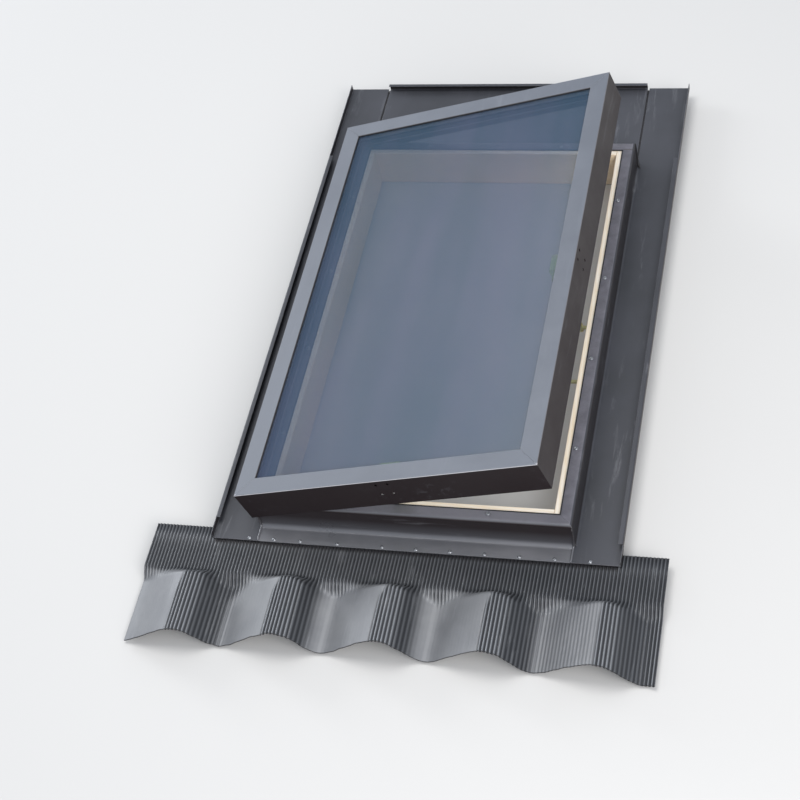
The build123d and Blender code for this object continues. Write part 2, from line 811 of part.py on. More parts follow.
# Glazing beads, hooked under the shelf of each member
bracket_spots = {"right": bracket_centre, "front": spare_place}
screw_inset = bracket_reach - bracket_cover + bracket_screw_inset
for name, (plane, half) in sash_sides.items():
    with BuildPart() as bead:
        with BuildSketch(plane) as section:
            Polygon(
                (web_face, shelf_height),
                (web_face, shelf_height + bead_plate),
                (bead_end, shelf_height + bead_plate),
                (bead_end, shelf_height),
                (web_face + bead_hook, shelf_height),
                (web_face + bead_hook, shelf_height - bead_hook),
                (web_face - bead_hook_reach, shelf_height - bead_hook),
                (web_face - bead_hook_reach, shelf_height),
                align=None,
            )
            fillet(section.vertices().group_by(Axis.X)[-1], radius=bead_plate / 3)
        extrude(amount=half, both=True)
        extrude(mitre_plan(plane, half, face_width), sash_depth, both=True, mode=Mode.INTERSECT)
        if name in bracket_spots:
            with Locations(Plane(plane.origin, plane.x_dir, Vector(0, 0, -1))):
                with Locations((screw_inset, bracket_spots[name])):
                    with GridLocations(1, bracket_screw_pitch, 1, 2):
                        Hole(bracket_screw_radius, depth=sash_depth)
    save_on_sash(bead, f"glazing_bead_{name}")

# Bulb seal under the beads, which closes on the lip of the flashing
sash_seal = square_ring(
    sash_half_width - seal_inset,
    sash_half_length - seal_inset,
    sash_seal_width,
    lip_top + seal_lift,
    shelf_bottom - lip_top - seal_lift,
)
save_on_sash(sash_seal, "sash_seal")

# Hinges: a leaf screwed through the flashing, a leaf riveted to the sash, and a pin
knuckle_half = hinge_length / 2 - knuckle_length
for name, y in (("front", -hinge_place), ("rear", hinge_place)):
    with BuildPart() as frame_leaf:
        with BuildSketch(Plane.XZ.offset(-y)):
            with Locations((-wall_x, hinge_height)):
                Rectangle(hinge_plate, frame_leaf_rise, align=(Align.MAX, Align.MIN))
            with Locations((hinge_x, hinge_height)):
                Circle(knuckle_radius)
        extrude(amount=hinge_length / 2, both=True)
        with BuildSketch(Plane.XZ.offset(-y)):
            with Locations((hinge_x, hinge_height)):
                Circle(knuckle_radius + knuckle_clearance)
                Rectangle(
                    hinge_plate + 2 * knuckle_radius,
                    knuckle_radius + knuckle_clearance,
                    align=(Align.CENTER, Align.MIN),
                )
        extrude(amount=knuckle_half, both=True, mode=Mode.SUBTRACT)
        with BuildSketch(Plane.XZ.offset(-y)):
            with Locations((hinge_x, hinge_height)):
                Circle(pin_radius)
        extrude(amount=hinge_length, both=True, mode=Mode.SUBTRACT)
        with Locations(facing(-wall_x - hinge_plate, -1)):
            with Locations(*[(step - y, hinge_screw_z) for step in screw_steps]):
                CounterSinkHole(hinge_screw_radius, hinge_screw_head, 2 * hinge_plate, 90)
    save(frame_leaf, f"hinge_frame_leaf_{name}")

    with BuildPart() as sash_leaf:
        with BuildSketch(Plane.XZ.offset(-y)):
            with Locations((-sash_half_width, hinge_height)):
                Rectangle(hinge_plate, sash_leaf_rise, align=(Align.MAX, Align.MIN))
        extrude(amount=knuckle_half - knuckle_gap, both=True)
        with BuildSketch(Plane.XZ.offset(-y)):
            with Locations((-sash_half_width, hinge_height + leaf_neck)):
                Rectangle(hinge_plate, sash_leaf_rise - leaf_neck, align=(Align.MAX, Align.MIN))
        extrude(amount=hinge_length / 2, both=True)
        with BuildSketch(Plane.XZ.offset(-y)):
            with Locations((hinge_x, hinge_height)):
                Circle(knuckle_radius)
        extrude(amount=knuckle_half - knuckle_gap, both=True)
        with BuildSketch(Plane.XZ.offset(-y)):
            with Locations((hinge_x, hinge_height)):
                Circle(pin_radius + running_gap)
        extrude(amount=hinge_length, both=True, mode=Mode.SUBTRACT)
        leaf_corners = sash_leaf.edges().filter_by(Axis.X).group_by(Axis.Z)[-1]
        fillet(leaf_corners, radius=leaf_round)
        with Locations(facing(-sash_half_width - hinge_plate, -1)):
            with Locations(*[(step - y, rivet_z) for step in screw_steps]):
                Hole(rivet_radius, depth=2 * hinge_plate)
    save_on_sash(sash_leaf, f"hinge_sash_leaf_{name}")

    with BuildPart() as hinge_pin:
        with BuildSketch(Plane.XZ.offset(-y)):
            with Locations((hinge_x, hinge_height)):
                Circle(pin_radius)
        extrude(amount=hinge_length / 2, both=True)
        for end in (-1, 1):
            with BuildSketch(Plane.XZ.offset(end * hinge_length / 2 - y)):
                with Locations((hinge_x, hinge_height)):
                    Circle(pin_head_radius)
            extrude(amount=end * pin_head)
        for end in (0, -1):
            chamfer(hinge_pin.faces().sort_by(Axis.Y)[end].edges(), length=pin_head / 2)
    save(hinge_pin, f"hinge_pin_{name}")


def countersunk(radius, head, length):
    # A countersunk screw that points down from the origin, its head flush with it
    with BuildPart() as screw:
        Cylinder(radius, length, align=hanging)
        Cone(radius, head, head - radius, align=hanging)
    return screw.part


hinge_screw = countersunk(hinge_screw_radius, hinge_screw_head, hinge_screw_length)
with BuildPart() as hinge_screws:
    with Locations(facing(-wall_x - hinge_plate, -1)):
        with Locations(*[(step - y, hinge_screw_z) for y in hinge_rows for step in screw_steps]):
            add(hinge_screw)
save(hinge_screws, "hinge_screws")

with BuildPart() as hinge_rivets:
    for y in hinge_rows:
        for step in screw_steps:
            with Locations(facing(-sash_half_width - hinge_plate, -1)):
                with Locations((step - y, rivet_z)):
                    Cylinder(rivet_head, rivet_head_height, align=on_end)
                    Cylinder(rivet_radius, hinge_plate + skirt, align=hanging)
            with Locations(facing(-sash_half_width + skirt, -1)):
                with Locations((step - y, rivet_z)):
                    Cylinder(rivet_tail, rivet_head_height, align=hanging)
save_on_sash(hinge_rivets, "hinge_rivets")


def under_bracket(plane):
    # A plane on the underside of a bracket's flat leg, which looks down
    return Plane(plane.origin + Vector(0, 0, shelf_height - bracket_plate), plane.x_dir, (0, 0, -1))


def angle_bracket(plane, spot):
    # One leg lies under the bead, the other hangs down to the stay's pivot
    pivot = spot + bracket_nose - bracket_width / 2
    drop = shelf_height - stay_drop
    with BuildPart() as angle:
        with BuildSketch(plane.offset(spot)):
            with BuildLine():
                FilletPolyline(
                    (bracket_reach - bracket_cover, shelf_height),
                    (bracket_reach, shelf_height),
                    (bracket_reach, drop - bracket_nose),
                    radius=bracket_bend,
                )
                offset(amount=bracket_plate, side=Side.RIGHT)
            make_face()
        extrude(amount=bracket_width / 2, both=True)
        leg_plane = Plane(plane.origin + plane.x_dir * bracket_reach, plane.z_dir, -plane.x_dir)
        with BuildSketch(leg_plane):
            with BuildLine():
                Polyline(
                    (pivot - bracket_nose, drop),
                    (pivot - bracket_nose, shelf_height),
                    (pivot - bracket_nose + bracket_width, shelf_height),
                    (pivot - bracket_nose + bracket_width, shelf_height - bracket_shoulder),
                    (pivot + bracket_nose, drop),
                )
                ThreePointArc(
                    (pivot + bracket_nose, drop),
                    (pivot, drop - bracket_nose),
                    (pivot - bracket_nose, drop),
                )
            make_face()
        extrude(amount=bracket_cover, mode=Mode.INTERSECT)
        with Locations(leg_plane):
            with Locations((pivot, drop)):
                Cylinder(pivot_radius, 4 * bracket_plate, mode=Mode.SUBTRACT)
        with Locations(under_bracket(plane)):
            with Locations((screw_inset, spot)):
                with GridLocations(1, bracket_screw_pitch, 1, 2):
                    CounterSinkHole(bracket_screw_radius, bracket_screw_head, 2 * bracket_plate, 90)
    return angle


stay_bracket = angle_bracket(sash_sides["right"][0], bracket_centre)
save_on_sash(stay_bracket, "stay_bracket")
spare_bracket = angle_bracket(sash_sides["front"][0], spare_place)
save_on_sash(spare_bracket, "spare_bracket")

bracket_screw = countersunk(bracket_screw_radius, bracket_screw_head, bracket_plate + bead_plate)
with BuildPart() as bracket_screws:
    for name, spot in bracket_spots.items():
        with Locations(under_bracket(sash_sides[name][0])):
            with Locations((screw_inset, spot)):
                with GridLocations(1, bracket_screw_pitch, 1, 2):
                    add(bracket_screw)
save_on_sash(bracket_screws, "bracket_screws")

# Pivot of the stay: a riveted pin with a washer between the bracket and the bar
with BuildPart() as stay_pivot:
    with Locations(facing(stay_face - stay_plate - stay_gap, 1)):
        with Locations((stay_place, stay_z)):
            Cylinder(pivot_head_radius, pivot_head, align=hanging)
            Cylinder(pivot_radius, bracket_plate + washer + stay_plate + 2 * stay_gap, align=on_end)
    chamfer(stay_pivot.faces().sort_by(Axis.X)[0].edges(), length=pivot_head / 2)
    with Locations(facing(bracket_x + bracket_plate, 1)):
        with Locations((stay_place, stay_z)):
            Cylinder(pivot_tail_radius, pivot_tail, align=on_end)
save_on_sash(stay_pivot, "stay_pivot")

with BuildPart() as stay_washer:
    with BuildSketch(facing(bracket_x - washer, 1)):
        with Locations((stay_place, stay_z)):
            Circle(washer_radius)
            Circle(pivot_radius, mode=Mode.SUBTRACT)
    extrude(amount=washer)
save_on_sash(stay_washer, "stay_washer")

# Stay bar, hanging from its pivot, with the notch that drops over a catch pin
with BuildPart() as stay_bar:
    with BuildSketch(facing(stay_face, -1)) as bar_outline:
        with Locations((-stay_place, stay_z - (stay_length + stay_tip - stay_width / 2) / 2)):
            SlotOverall(
                stay_length + stay_tip + stay_width / 2,
                stay_width,
                rotation=90,
            )
        with Locations((-stay_place, stay_z)):
            Circle(pivot_radius + running_gap, mode=Mode.SUBTRACT)
        with Locations((-vent_y, stay_z - stay_length)):
            Circle(notch_radius, mode=Mode.SUBTRACT)
            Rectangle(stay_width, 2 * notch_radius, align=(Align.MIN, Align.CENTER), mode=Mode.SUBTRACT)
    extrude(amount=stay_plate)
save_on_sash(stay_bar, "stay_bar")

# Catch plate on the kerb with its two pins: one for airing, one for locking
pin_spots = ((vent_y, vent_z, vent_pin_length), (lock_y, lock_z, lock_pin_length))
with BuildPart() as catch_strip:
    with BuildSketch(facing(half_width, -1)):
        with Locations((-catch_middle, catch_z)):
            RectangleRounded(catch_length, catch_plate_height, catch_plate_height / 3)
    extrude(amount=catch_plate)
    with Locations(facing(half_width - catch_plate, -1)):
        with Locations(*[(-y, z) for y, z, length in pin_spots]):
            Hole(catch_radius, depth=2 * catch_plate)
        with Locations(*[(-y, catch_z) for y in catch_rows]):
            CounterSinkHole(catch_screw_radius, catch_screw_head, 2 * catch_plate, 90)
save(catch_strip, "catch_plate")

with BuildPart() as catch_pins:
    for y, z, length in pin_spots:
        with BuildSketch(facing(half_width, -1)):
            with Locations((-y, z)):
                Circle(catch_radius)
        extrude(amount=length)
        chamfer(catch_pins.edges().group_by(Axis.X)[0], length=catch_radius / 4)
save(catch_pins, "catch_pins")

catch_screw = countersunk(catch_screw_radius, catch_screw_head, catch_screw_length)
with BuildPart() as catch_screws:
    with Locations(facing(half_width - catch_plate, -1)):
        with Locations(*[(-y, catch_z) for y in catch_rows]):
            add(catch_screw)
save(catch_screws, "catch_screws")
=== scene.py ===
import bpy
import bmesh
import json
import math
import random
import numpy as np
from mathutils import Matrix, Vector


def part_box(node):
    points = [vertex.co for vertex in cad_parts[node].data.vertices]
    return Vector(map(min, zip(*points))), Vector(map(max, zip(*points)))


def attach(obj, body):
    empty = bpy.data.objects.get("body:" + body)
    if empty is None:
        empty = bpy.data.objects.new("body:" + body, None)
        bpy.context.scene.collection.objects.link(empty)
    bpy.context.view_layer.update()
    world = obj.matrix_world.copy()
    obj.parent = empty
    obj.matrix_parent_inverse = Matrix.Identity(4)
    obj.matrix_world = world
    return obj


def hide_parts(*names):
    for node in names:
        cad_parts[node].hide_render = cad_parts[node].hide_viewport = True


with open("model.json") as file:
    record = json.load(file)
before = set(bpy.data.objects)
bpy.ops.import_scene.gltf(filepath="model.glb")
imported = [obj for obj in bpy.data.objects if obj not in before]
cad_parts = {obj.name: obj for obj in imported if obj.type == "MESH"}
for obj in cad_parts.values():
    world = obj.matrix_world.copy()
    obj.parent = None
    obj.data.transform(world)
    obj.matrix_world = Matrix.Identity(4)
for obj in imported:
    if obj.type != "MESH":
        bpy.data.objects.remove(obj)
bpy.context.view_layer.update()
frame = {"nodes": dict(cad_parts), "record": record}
nodes = frame["nodes"]
mm = 0.001
sashOpening = math.radians(14.75)  # how far the sash stands open at rest
sashUp = (-math.sin(sashOpening), 0.0, math.cos(sashOpening))  # straight out of its top face
print("frame loaded,", len(nodes), "nodes")


def newObject(name, data):
    made = bpy.data.objects.new(name, data)
    bpy.context.scene.collection.objects.link(made)
    return made


def finishedMesh(shape, name):
    # The mesh of what was built, with its faces turned outward
    bmesh.ops.recalc_face_normals(shape, faces=shape.faces)
    mesh = bpy.data.meshes.new(name)
    shape.to_mesh(mesh)
    shape.free()
    return mesh


def joinRings(shape, rings, smooth):
    # Walls from each ring of corners to the next, and a cap at either end
    count = len(rings[0])
    for first, second in zip(rings, rings[1:]):
        for step in range(count):
            after = (step + 1) % count
            shape.faces.new((first[step], first[after], second[after], second[step])).smooth = smooth
    shape.faces.new(rings[0])
    shape.faces.new(rings[-1])


# Camera at the angle from which the window is seen
cameraSettings = {
    "place": (0.614758, -1.647763, 2.008680),
    "turn": (38.66931, 10.50282, 11.56080),  # degrees about X, Y and Z
    "lens": 76.303, "sensor": 36.0, "clip": (0.01, 100.0),
}


def placeCamera(s):
    camera = newObject("camera", bpy.data.cameras.new("camera"))
    camera.location = s["place"]
    camera.rotation_euler = [math.radians(angle) for angle in s["turn"]]
    camera.data.lens = s["lens"]
    camera.data.sensor_width = s["sensor"]
    camera.data.clip_start, camera.data.clip_end = s["clip"]
    bpy.context.scene.camera = camera


# Soft studio light: a lamp overhead, a low one behind on the left, a broad one at the front right
lightSettings = {
    "skyStrength": 0.70, "skyColor": (0.86, 0.91, 1.0, 1.0), "aim": (0.0, 0.0, 0.05),
    "lamps": {
        "keyLight": {"place": (-0.5, 0.2, 3.3), "size": 1.6, "power": 60.0, "color": (1.0, 0.98, 0.95)},
        "leftLight": {"place": (-3.4, 2.0, 1.3), "size": 1.3, "power": 64.0, "color": (0.96, 0.98, 1.0)},
        "fillLight": {"place": (2.0, -2.1, 2.1), "size": 2.2, "power": 86.0, "color": (1.0, 0.97, 0.94)},
    },
}


def placeLights(s):
    for name, lamp in s["lamps"].items():
        light = newObject(name, bpy.data.lights.new(name, "AREA"))
        light.location = lamp["place"]
        light.rotation_euler = (Vector(s["aim"]) - Vector(lamp["place"])).to_track_quat("-Z", "Y").to_euler()
        light.data.size = lamp["size"]
        light.data.energy = lamp["power"]
        light.data.color = lamp["color"]
    world = bpy.data.worlds.new("studio")
    world.use_nodes = True
    bpy.context.scene.world = world
    background = world.node_tree.nodes["Background"]
    background.inputs["Color"].default_value = s["skyColor"]
    background.inputs["Strength"].default_value = s["skyStrength"]
    bpy.context.scene.view_settings.view_transform = "Standard"


floorSettings = {
    "size": 90.0, "height": -0.001,
    "finish": {"Base Color": (0.56, 0.56, 0.555, 1.0), "Roughness": 0.9, "Specular IOR Level": 0.1},
}


def layFloor(s):
    half, z = s["size"] / 2, s["height"]
    mesh = bpy.data.meshes.new("floor")
    mesh.from_pydata([(-half, -half, z), (half, -half, z), (half, half, z), (-half, half, z)], [], [(0, 1, 2, 3)])
    floor = newObject("floor", mesh)
    material, tree, shader = newMaterial("paleFloor")
    setInputs(tree, shader, s["finish"])
    mesh.materials.append(material)


def linear(code):
    # A hex colour as the linear values that a shader takes
    channels = [int(code[i:i + 2], 16) / 255 for i in (0, 2, 4)]
    return (*[c / 12.92 if c <= 0.04045 else ((c + 0.055) / 1.055) ** 2.4 for c in channels], 1.0)


def newMaterial(name):
    material = bpy.data.materials.new(name)
    material.use_nodes = True
    tree = material.node_tree
    return material, tree, tree.nodes["Principled BSDF"]


def setInputs(tree, node, inputs):
    # Each input gets a plain value, or is linked to the socket that is given
    for name, value in inputs.items():
        if isinstance(value, bpy.types.NodeSocket):
            tree.links.new(value, node.inputs[name])
        else:
            node.inputs[name].default_value = value


def anyNode(tree, kind, inputs=None, **settings):
    node = tree.nodes.new(kind)
    for name, value in settings.items():
        setattr(node, name, value)
    setInputs(tree, node, inputs or {})
    return node


def addNode(tree, kind, inputs=None, **settings):
    return anyNode(tree, "ShaderNode" + kind, inputs, **settings)


def newGroup(name, inputs, outputs, kind="ShaderNodeTree"):
    group = bpy.data.node_groups.new(name, kind)
    for way, sockets in (("INPUT", inputs), ("OUTPUT", outputs)):
        for label, socket in sockets.items():
            group.interface.new_socket(label, in_out=way, socket_type="NodeSocket" + socket)
    return group, group.nodes.new("NodeGroupInput").outputs, group.nodes.new("NodeGroupOutput")


def useGroup(tree, group, inputs):
    return addNode(tree, "Group", inputs, node_tree=group).outputs


def remap(tree, factor, source=(0.0, 1.0), target=(0.0, 1.0)):
    # Values across the source span become values across the target span
    spans = {"From Min": source[0], "From Max": source[1], "To Min": target[0], "To Max": target[1]}
    return addNode(tree, "MapRange", {"Value": factor, **spans}).outputs["Result"]


def mixColors(tree, factor, first, second, blend="MIX"):
    # The colour sockets of a mix node are its inputs 6 and 7
    return addNode(tree, "Mix", {0: factor, 6: first, 7: second}, data_type="RGBA", blend_type=blend).outputs[2]


def maths(tree, operation, first, second):
    return addNode(tree, "Math", {0: first, 1: second}, operation=operation).outputs["Value"]


def dot(tree, first, second):
    return addNode(tree, "VectorMath", {0: first, 1: second}, operation="DOT_PRODUCT").outputs["Value"]


def stretch(tree, vector, shares):
    return addNode(tree, "VectorMath", {0: vector, 1: shares}, operation="MULTIPLY").outputs["Vector"]


def noise(tree, place, settings):
    return addNode(tree, "TexNoise", {"Vector": place, **settings}).outputs["Fac"]


def under(top, span):
    return [top - depth for depth in span]


# Broad soft patches of colour, as coated metal has them out of doors
mottleSettings = {"noise": {"Detail": 5.0, "Roughness": 0.62}, "span": (0.34, 0.66)}


def makeMottle(s):
    sockets = {"Vector": "Vector", "Scale": "Float", "First": "Color", "Second": "Color"}
    group, inputs, output = newGroup("mottle", sockets, {"Color": "Color", "Mask": "Float"})
    mask = remap(group, noise(group, inputs["Vector"], {**s["noise"], "Scale": inputs["Scale"]}), s["span"])
    setInputs(group, output, {"Color": mixColors(group, mask, inputs["First"], inputs["Second"]), "Mask": mask})
    return group


# Rounded edges for the light, and a mask that is bright along them
softEdgeSettings = {"samples": 4, "span": (0.995, 0.86)}


def makeSoftEdge(s):
    group, inputs, output = newGroup("softEdge", {"Radius": "Float"}, {"Normal": "Vector", "Edge": "Float"})
    rounded = addNode(group, "Bevel", {"Radius": inputs["Radius"]}, samples=s["samples"]).outputs["Normal"]
    match = dot(group, rounded, addNode(group, "NewGeometry").outputs["Normal"])
    setInputs(group, output, {"Normal": rounded, "Edge": remap(group, match, s["span"])})
    return group


# Thin scratches and rubbed marks that run mostly one way
scuffSettings = {
    "fine": {"Detail": 8.0, "Roughness": 0.7, "Distortion": 0.4}, "fineSpan": (0.56, 0.74),
    "broad": {"Scale": 9.0, "Detail": 3.0}, "broadSpan": (0.42, 0.62),
}


def makeScuffs(s):
    sockets = {"Vector": "Vector", "Stretch": "Vector", "Scale": "Float", "Cover": "Float"}
    group, inputs, output = newGroup("scuffs", sockets, {"Mask": "Float"})
    stretched = stretch(group, inputs["Vector"], inputs["Stretch"])
    fine = remap(group, noise(group, stretched, {**s["fine"], "Scale": inputs["Scale"]}), s["fineSpan"])
    broad = remap(group, noise(group, inputs["Vector"], s["broad"]), s["broadSpan"])
    both = maths(group, "MULTIPLY", fine, broad)
    setInputs(group, output, {"Mask": maths(group, "MULTIPLY", both, inputs["Cover"])})
    return group


# Fine orange peel of a sprayed or powder-coated face
peelSettings = {"Detail": 2.0}


def makePeel(s):
    group, inputs, output = newGroup("peel", {"Vector": "Vector", "Scale": "Float"}, {"Height": "Float"})
    setInputs(group, output, {"Height": noise(group, inputs["Vector"], {**s, "Scale": inputs["Scale"]})})
    return group


# Growth rings and pores of a sawn board, stretched along its length
grainSettings = {
    "rings": {"Scale": 14.0, "Distortion": 7.0, "Detail": 3.0, "Detail Scale": 1.4},
    "pores": {"Scale": 420.0, "Detail": 4.0},
}


def makeGrain(s):
    sockets = {"Vector": "Vector", "Stretch": "Vector"}
    group, inputs, output = newGroup("grain", sockets, {"Rings": "Float", "Pores": "Float"})
    stretched = stretch(group, inputs["Vector"], inputs["Stretch"])
    rings = addNode(group, "TexWave", {"Vector": stretched, **s["rings"]}, bands_direction="DIAGONAL")
    setInputs(group, output, {"Rings": rings.outputs["Fac"], "Pores": noise(group, stretched, s["pores"])})
    return group


mottle = makeMottle(mottleSettings)
softEdge = makeSoftEdge(softEdgeSettings)
scuffs = makeScuffs(scuffSettings)
peel = makePeel(peelSettings)
grain = makeGrain(grainSettings)


def mottled(tree, place, s):
    colors = {"First": linear(s["color"]), "Second": linear(s["patchColor"])}
    return useGroup(tree, mottle, {"Vector": place, "Scale": s["patchScale"], **colors})


def scuffed(tree, place, s):
    marks = {"Stretch": s["scuffStretch"], "Scale": s["scuffScale"], "Cover": s["scuffCover"]}
    return useGroup(tree, scuffs, {"Vector": place, **marks})["Mask"]


def peeled(tree, place, s):
    return useGroup(tree, peel, {"Vector": place, "Scale": s["peelScale"]})["Height"]


def relief(tree, height, strength, depth, **normal):
    # A bumped normal, over another one where that is given as Normal
    inputs = {"Height": height, "Strength": strength, "Distance": depth, **normal}
    return addNode(tree, "Bump", inputs).outputs["Normal"]


def brightenFront(tree, place, level, topLit, edgeShare, s):
    # Painted shade keeps the walls of the holes dark. Of the edges only the top ones take the pale edge colour,
    # with a painted highlight as a thin line along the front of the sash and faintly on its mitres.
    topLit = maths(tree, "MULTIPLY", topLit, remap(tree, level, under(s["top"], s["wallSpan"])))
    edgeShare = maths(tree, "MULTIPLY", edgeShare, remap(tree, level, under(s["top"], s["edgeSpan"])))
    line = remap(tree, level, under(s["top"], s["lineSpan"]))
    line = maths(tree, "MULTIPLY", line, maths(tree, "SUBTRACT", s["lineCover"], topLit))
    along = addNode(tree, "SeparateXYZ", {"Vector": place}).outputs["Y"]
    front = remap(tree, remap(tree, along, under(s["front"], s["frontSpan"])), target=(s["mitreShare"], 1.0))
    return topLit, maths(tree, "MULTIPLY", maths(tree, "MAXIMUM", edgeShare, line), front)


def coatedMetal(name, s):
    # Sprayed or coil-coated metal: painted light on the faces that face up and painted shade on its sides, with
    # patches, pale edges that are partly rubbed wear and partly painted highlight, and scuffs
    material, tree, shader = newMaterial(name)
    coordinates = addNode(tree, "TexCoord").outputs
    place = coordinates["Object"]
    level = dot(tree, place, s["up"])
    # Painted light: the share of each face that faces up, which takes the lighter top colours
    topLit = remap(tree, dot(tree, coordinates["Normal"], s["up"]), s["topLitSpan"])
    patches = mottled(tree, place, s)
    edge = useGroup(tree, softEdge, {"Radius": s["edgeRadius"]})
    edgeShare = maths(tree, "MULTIPLY", edge["Edge"], s["edgeCover"])
    if s["bright"]:
        topLit, edgeShare = brightenFront(tree, place, level, topLit, edgeShare, s["bright"])
    # Painted shade: the side faces take a darker colour than the tops
    side = linear(s["shadedSideColor"])
    # Where a height span is given, the sides grow lighter toward the bottom as a painted reflection
    if s["sideSpan"]:
        side = mixColors(tree, remap(tree, level, s["sideSpan"]), linear(s["lowSideLightColor"]), side)
    body = mixColors(tree, topLit, side, patches["Color"])
    # Pale edges: partly rubbed wear, partly painted highlight
    edgeWearAndHighlight = mixColors(tree, edgeShare, body, linear(s["edgeColor"]))
    marked = mixColors(tree, scuffed(tree, place, s), edgeWearAndHighlight, linear(s["scuffColor"]))
    if s["paleLip"]:
        # The up-facing top of the lip is made paler in noisy patches
        paleLip = s["paleLip"]
        height = addNode(tree, "SeparateXYZ", {"Vector": place}).outputs["Z"]
        lip = remap(tree, height, (paleLip["above"], paleLip["above"] + paleLip["fade"]))
        lip = maths(tree, "MULTIPLY", lip, topLit)
        cover = remap(tree, noise(tree, place, paleLip["noise"]), paleLip["noiseSpan"], paleLip["cover"])
        marked = mixColors(tree, maths(tree, "MULTIPLY", lip, cover), marked, linear(s["paleLipColor"]))
    dents = noise(tree, place, {"Scale": s["dentScale"], "Detail": s["dentDetail"]})
    waves = relief(tree, dents, s["dentStrength"], s["dentDepth"], Normal=edge["Normal"])
    setInputs(tree, shader, {
        "Base Color": marked, "Roughness": remap(tree, patches["Mask"], target=s["roughness"]),
        "Metallic": s["metallic"], "Specular IOR Level": s["specular"],
        "Coat Weight": s["coat"], "Coat Roughness": s["coatRoughness"],
        "Normal": relief(tree, peeled(tree, place, s), s["peelStrength"], s["peelDepth"], Normal=waves),
    })
    return material


coatBase = {
    "up": (0.0, 0.0, 1.0), "topLitSpan": (0.45, 0.85), "sideSpan": None, "bright": None, "paleLip": None,
    "patchScale": 7.0, "edgeRadius": 0.0006, "edgeCover": 0.5,
    "scuffStretch": (1.0, 0.12, 1.0), "scuffScale": 70.0, "scuffCover": 0.35,
    "roughness": (0.34, 0.48), "metallic": 0.15, "specular": 0.5, "coat": 0.1, "coatRoughness": 0.35,
    "peelScale": 900.0, "peelStrength": 0.12, "peelDepth": 0.0003,
    "dentScale": 5.0, "dentDetail": 1.0, "dentStrength": 0.0, "dentDepth": 0.004,
}
# Spans down from the top of the sash, and back from its front
brightFront = {
    "top": max(vertex.co.dot(Vector(sashUp)) for vertex in nodes["sash_front"].data.vertices),
    "front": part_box("sash_front")[0][1], "wallSpan": (0.008, 0.006), "edgeSpan": (0.003, 0.0015),
    "lineSpan": (0.0016, 0.001), "lineCover": 0.8, "frontSpan": (-0.0035, -0.003), "mitreShare": 0.22,
}
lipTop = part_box("flashing_front")[1][2]
# Where and how the up-facing top of the lip is made paler
paleLipSettings = {
    "above": lipTop - 0.0006, "fade": 0.0004, "noise": {"Scale": 45.0, "Detail": 7.0, "Roughness": 0.72},
    "noiseSpan": (0.36, 0.64), "cover": (0.4, 0.72),
}
# Painted sky reflection lifts the top faces to lilac-grey, painted shade takes the sides near to black, and the
# pale edge colour along the front top is a painted highlight
sashCoat = coatedMetal("sashCoat", {
    **coatBase, "color": "61666f", "patchColor": "6b7079", "edgeColor": "dcdde2", "scuffColor": "989ba4",
    "shadedSideColor": "21191b", "scuffCover": 0.14, "edgeRadius": 0.0011, "edgeCover": 0.85, "up": sashUp,
    "metallic": 0.0, "coat": 0.0, "roughness": (0.44, 0.58), "specular": 0.34, "bright": brightFront,
})
# Painted shade makes the sides of the beads darker than their tops
beadCoat = coatedMetal("beadCoat", {
    **coatBase, "color": "6d6c76", "patchColor": "76757f", "edgeColor": "93939b", "scuffColor": "8b8b93",
    "shadedSideColor": "2b2527", "scuffCover": 0.1, "up": sashUp,
})
# Painted shade makes the side walls of the flashing darker than its flanges and lip
flashingCoat = coatedMetal("flashingCoat", {
    **coatBase, "color": "36383d", "patchColor": "404249", "edgeColor": "9a9ba1", "scuffColor": "92949a",
    "shadedSideColor": "2c2a2d", "scuffCover": 0.4, "edgeCover": 0.6, "roughness": (0.42, 0.56), "metallic": 0.2,
    "coat": 0.12, "dentScale": 9.0, "dentStrength": 0.35, "paleLip": paleLipSettings, "paleLipColor": "84828b",
})
# A lighter copy of the flashing coat, painted light against the shadow of the sash. Its upstand is a dark brown
# painted shade and reflection that turns to a lighter painted reflection toward the flange.
litFrontCoat = coatedMetal("litFrontCoat", {
    **coatBase, "color": "67696e", "patchColor": "737479", "edgeColor": "a3a4a9", "scuffColor": "9b9da2",
    "shadedSideColor": "2a2224", "lowSideLightColor": "5f6065", "sideSpan": (lipTop - 0.05, lipTop - 0.02),
    "scuffStretch": (0.12, 1.0, 1.0), "scuffCover": 0.4, "edgeCover": 0.6, "roughness": (0.26, 0.42),
    "metallic": 0.35, "coat": 0.2, "dentScale": 9.0, "dentStrength": 0.35,
    "paleLip": paleLipSettings, "paleLipColor": "7e7c85",
})
hingeCoat = coatedMetal("hingeCoat", {
    **coatBase, "color": "4a4d54", "patchColor": "565960", "edgeColor": "a7a9ad", "scuffColor": "9b9da1",
    "shadedSideColor": "4a4d54", "edgeRadius": 0.0005, "metallic": 0.4,
})


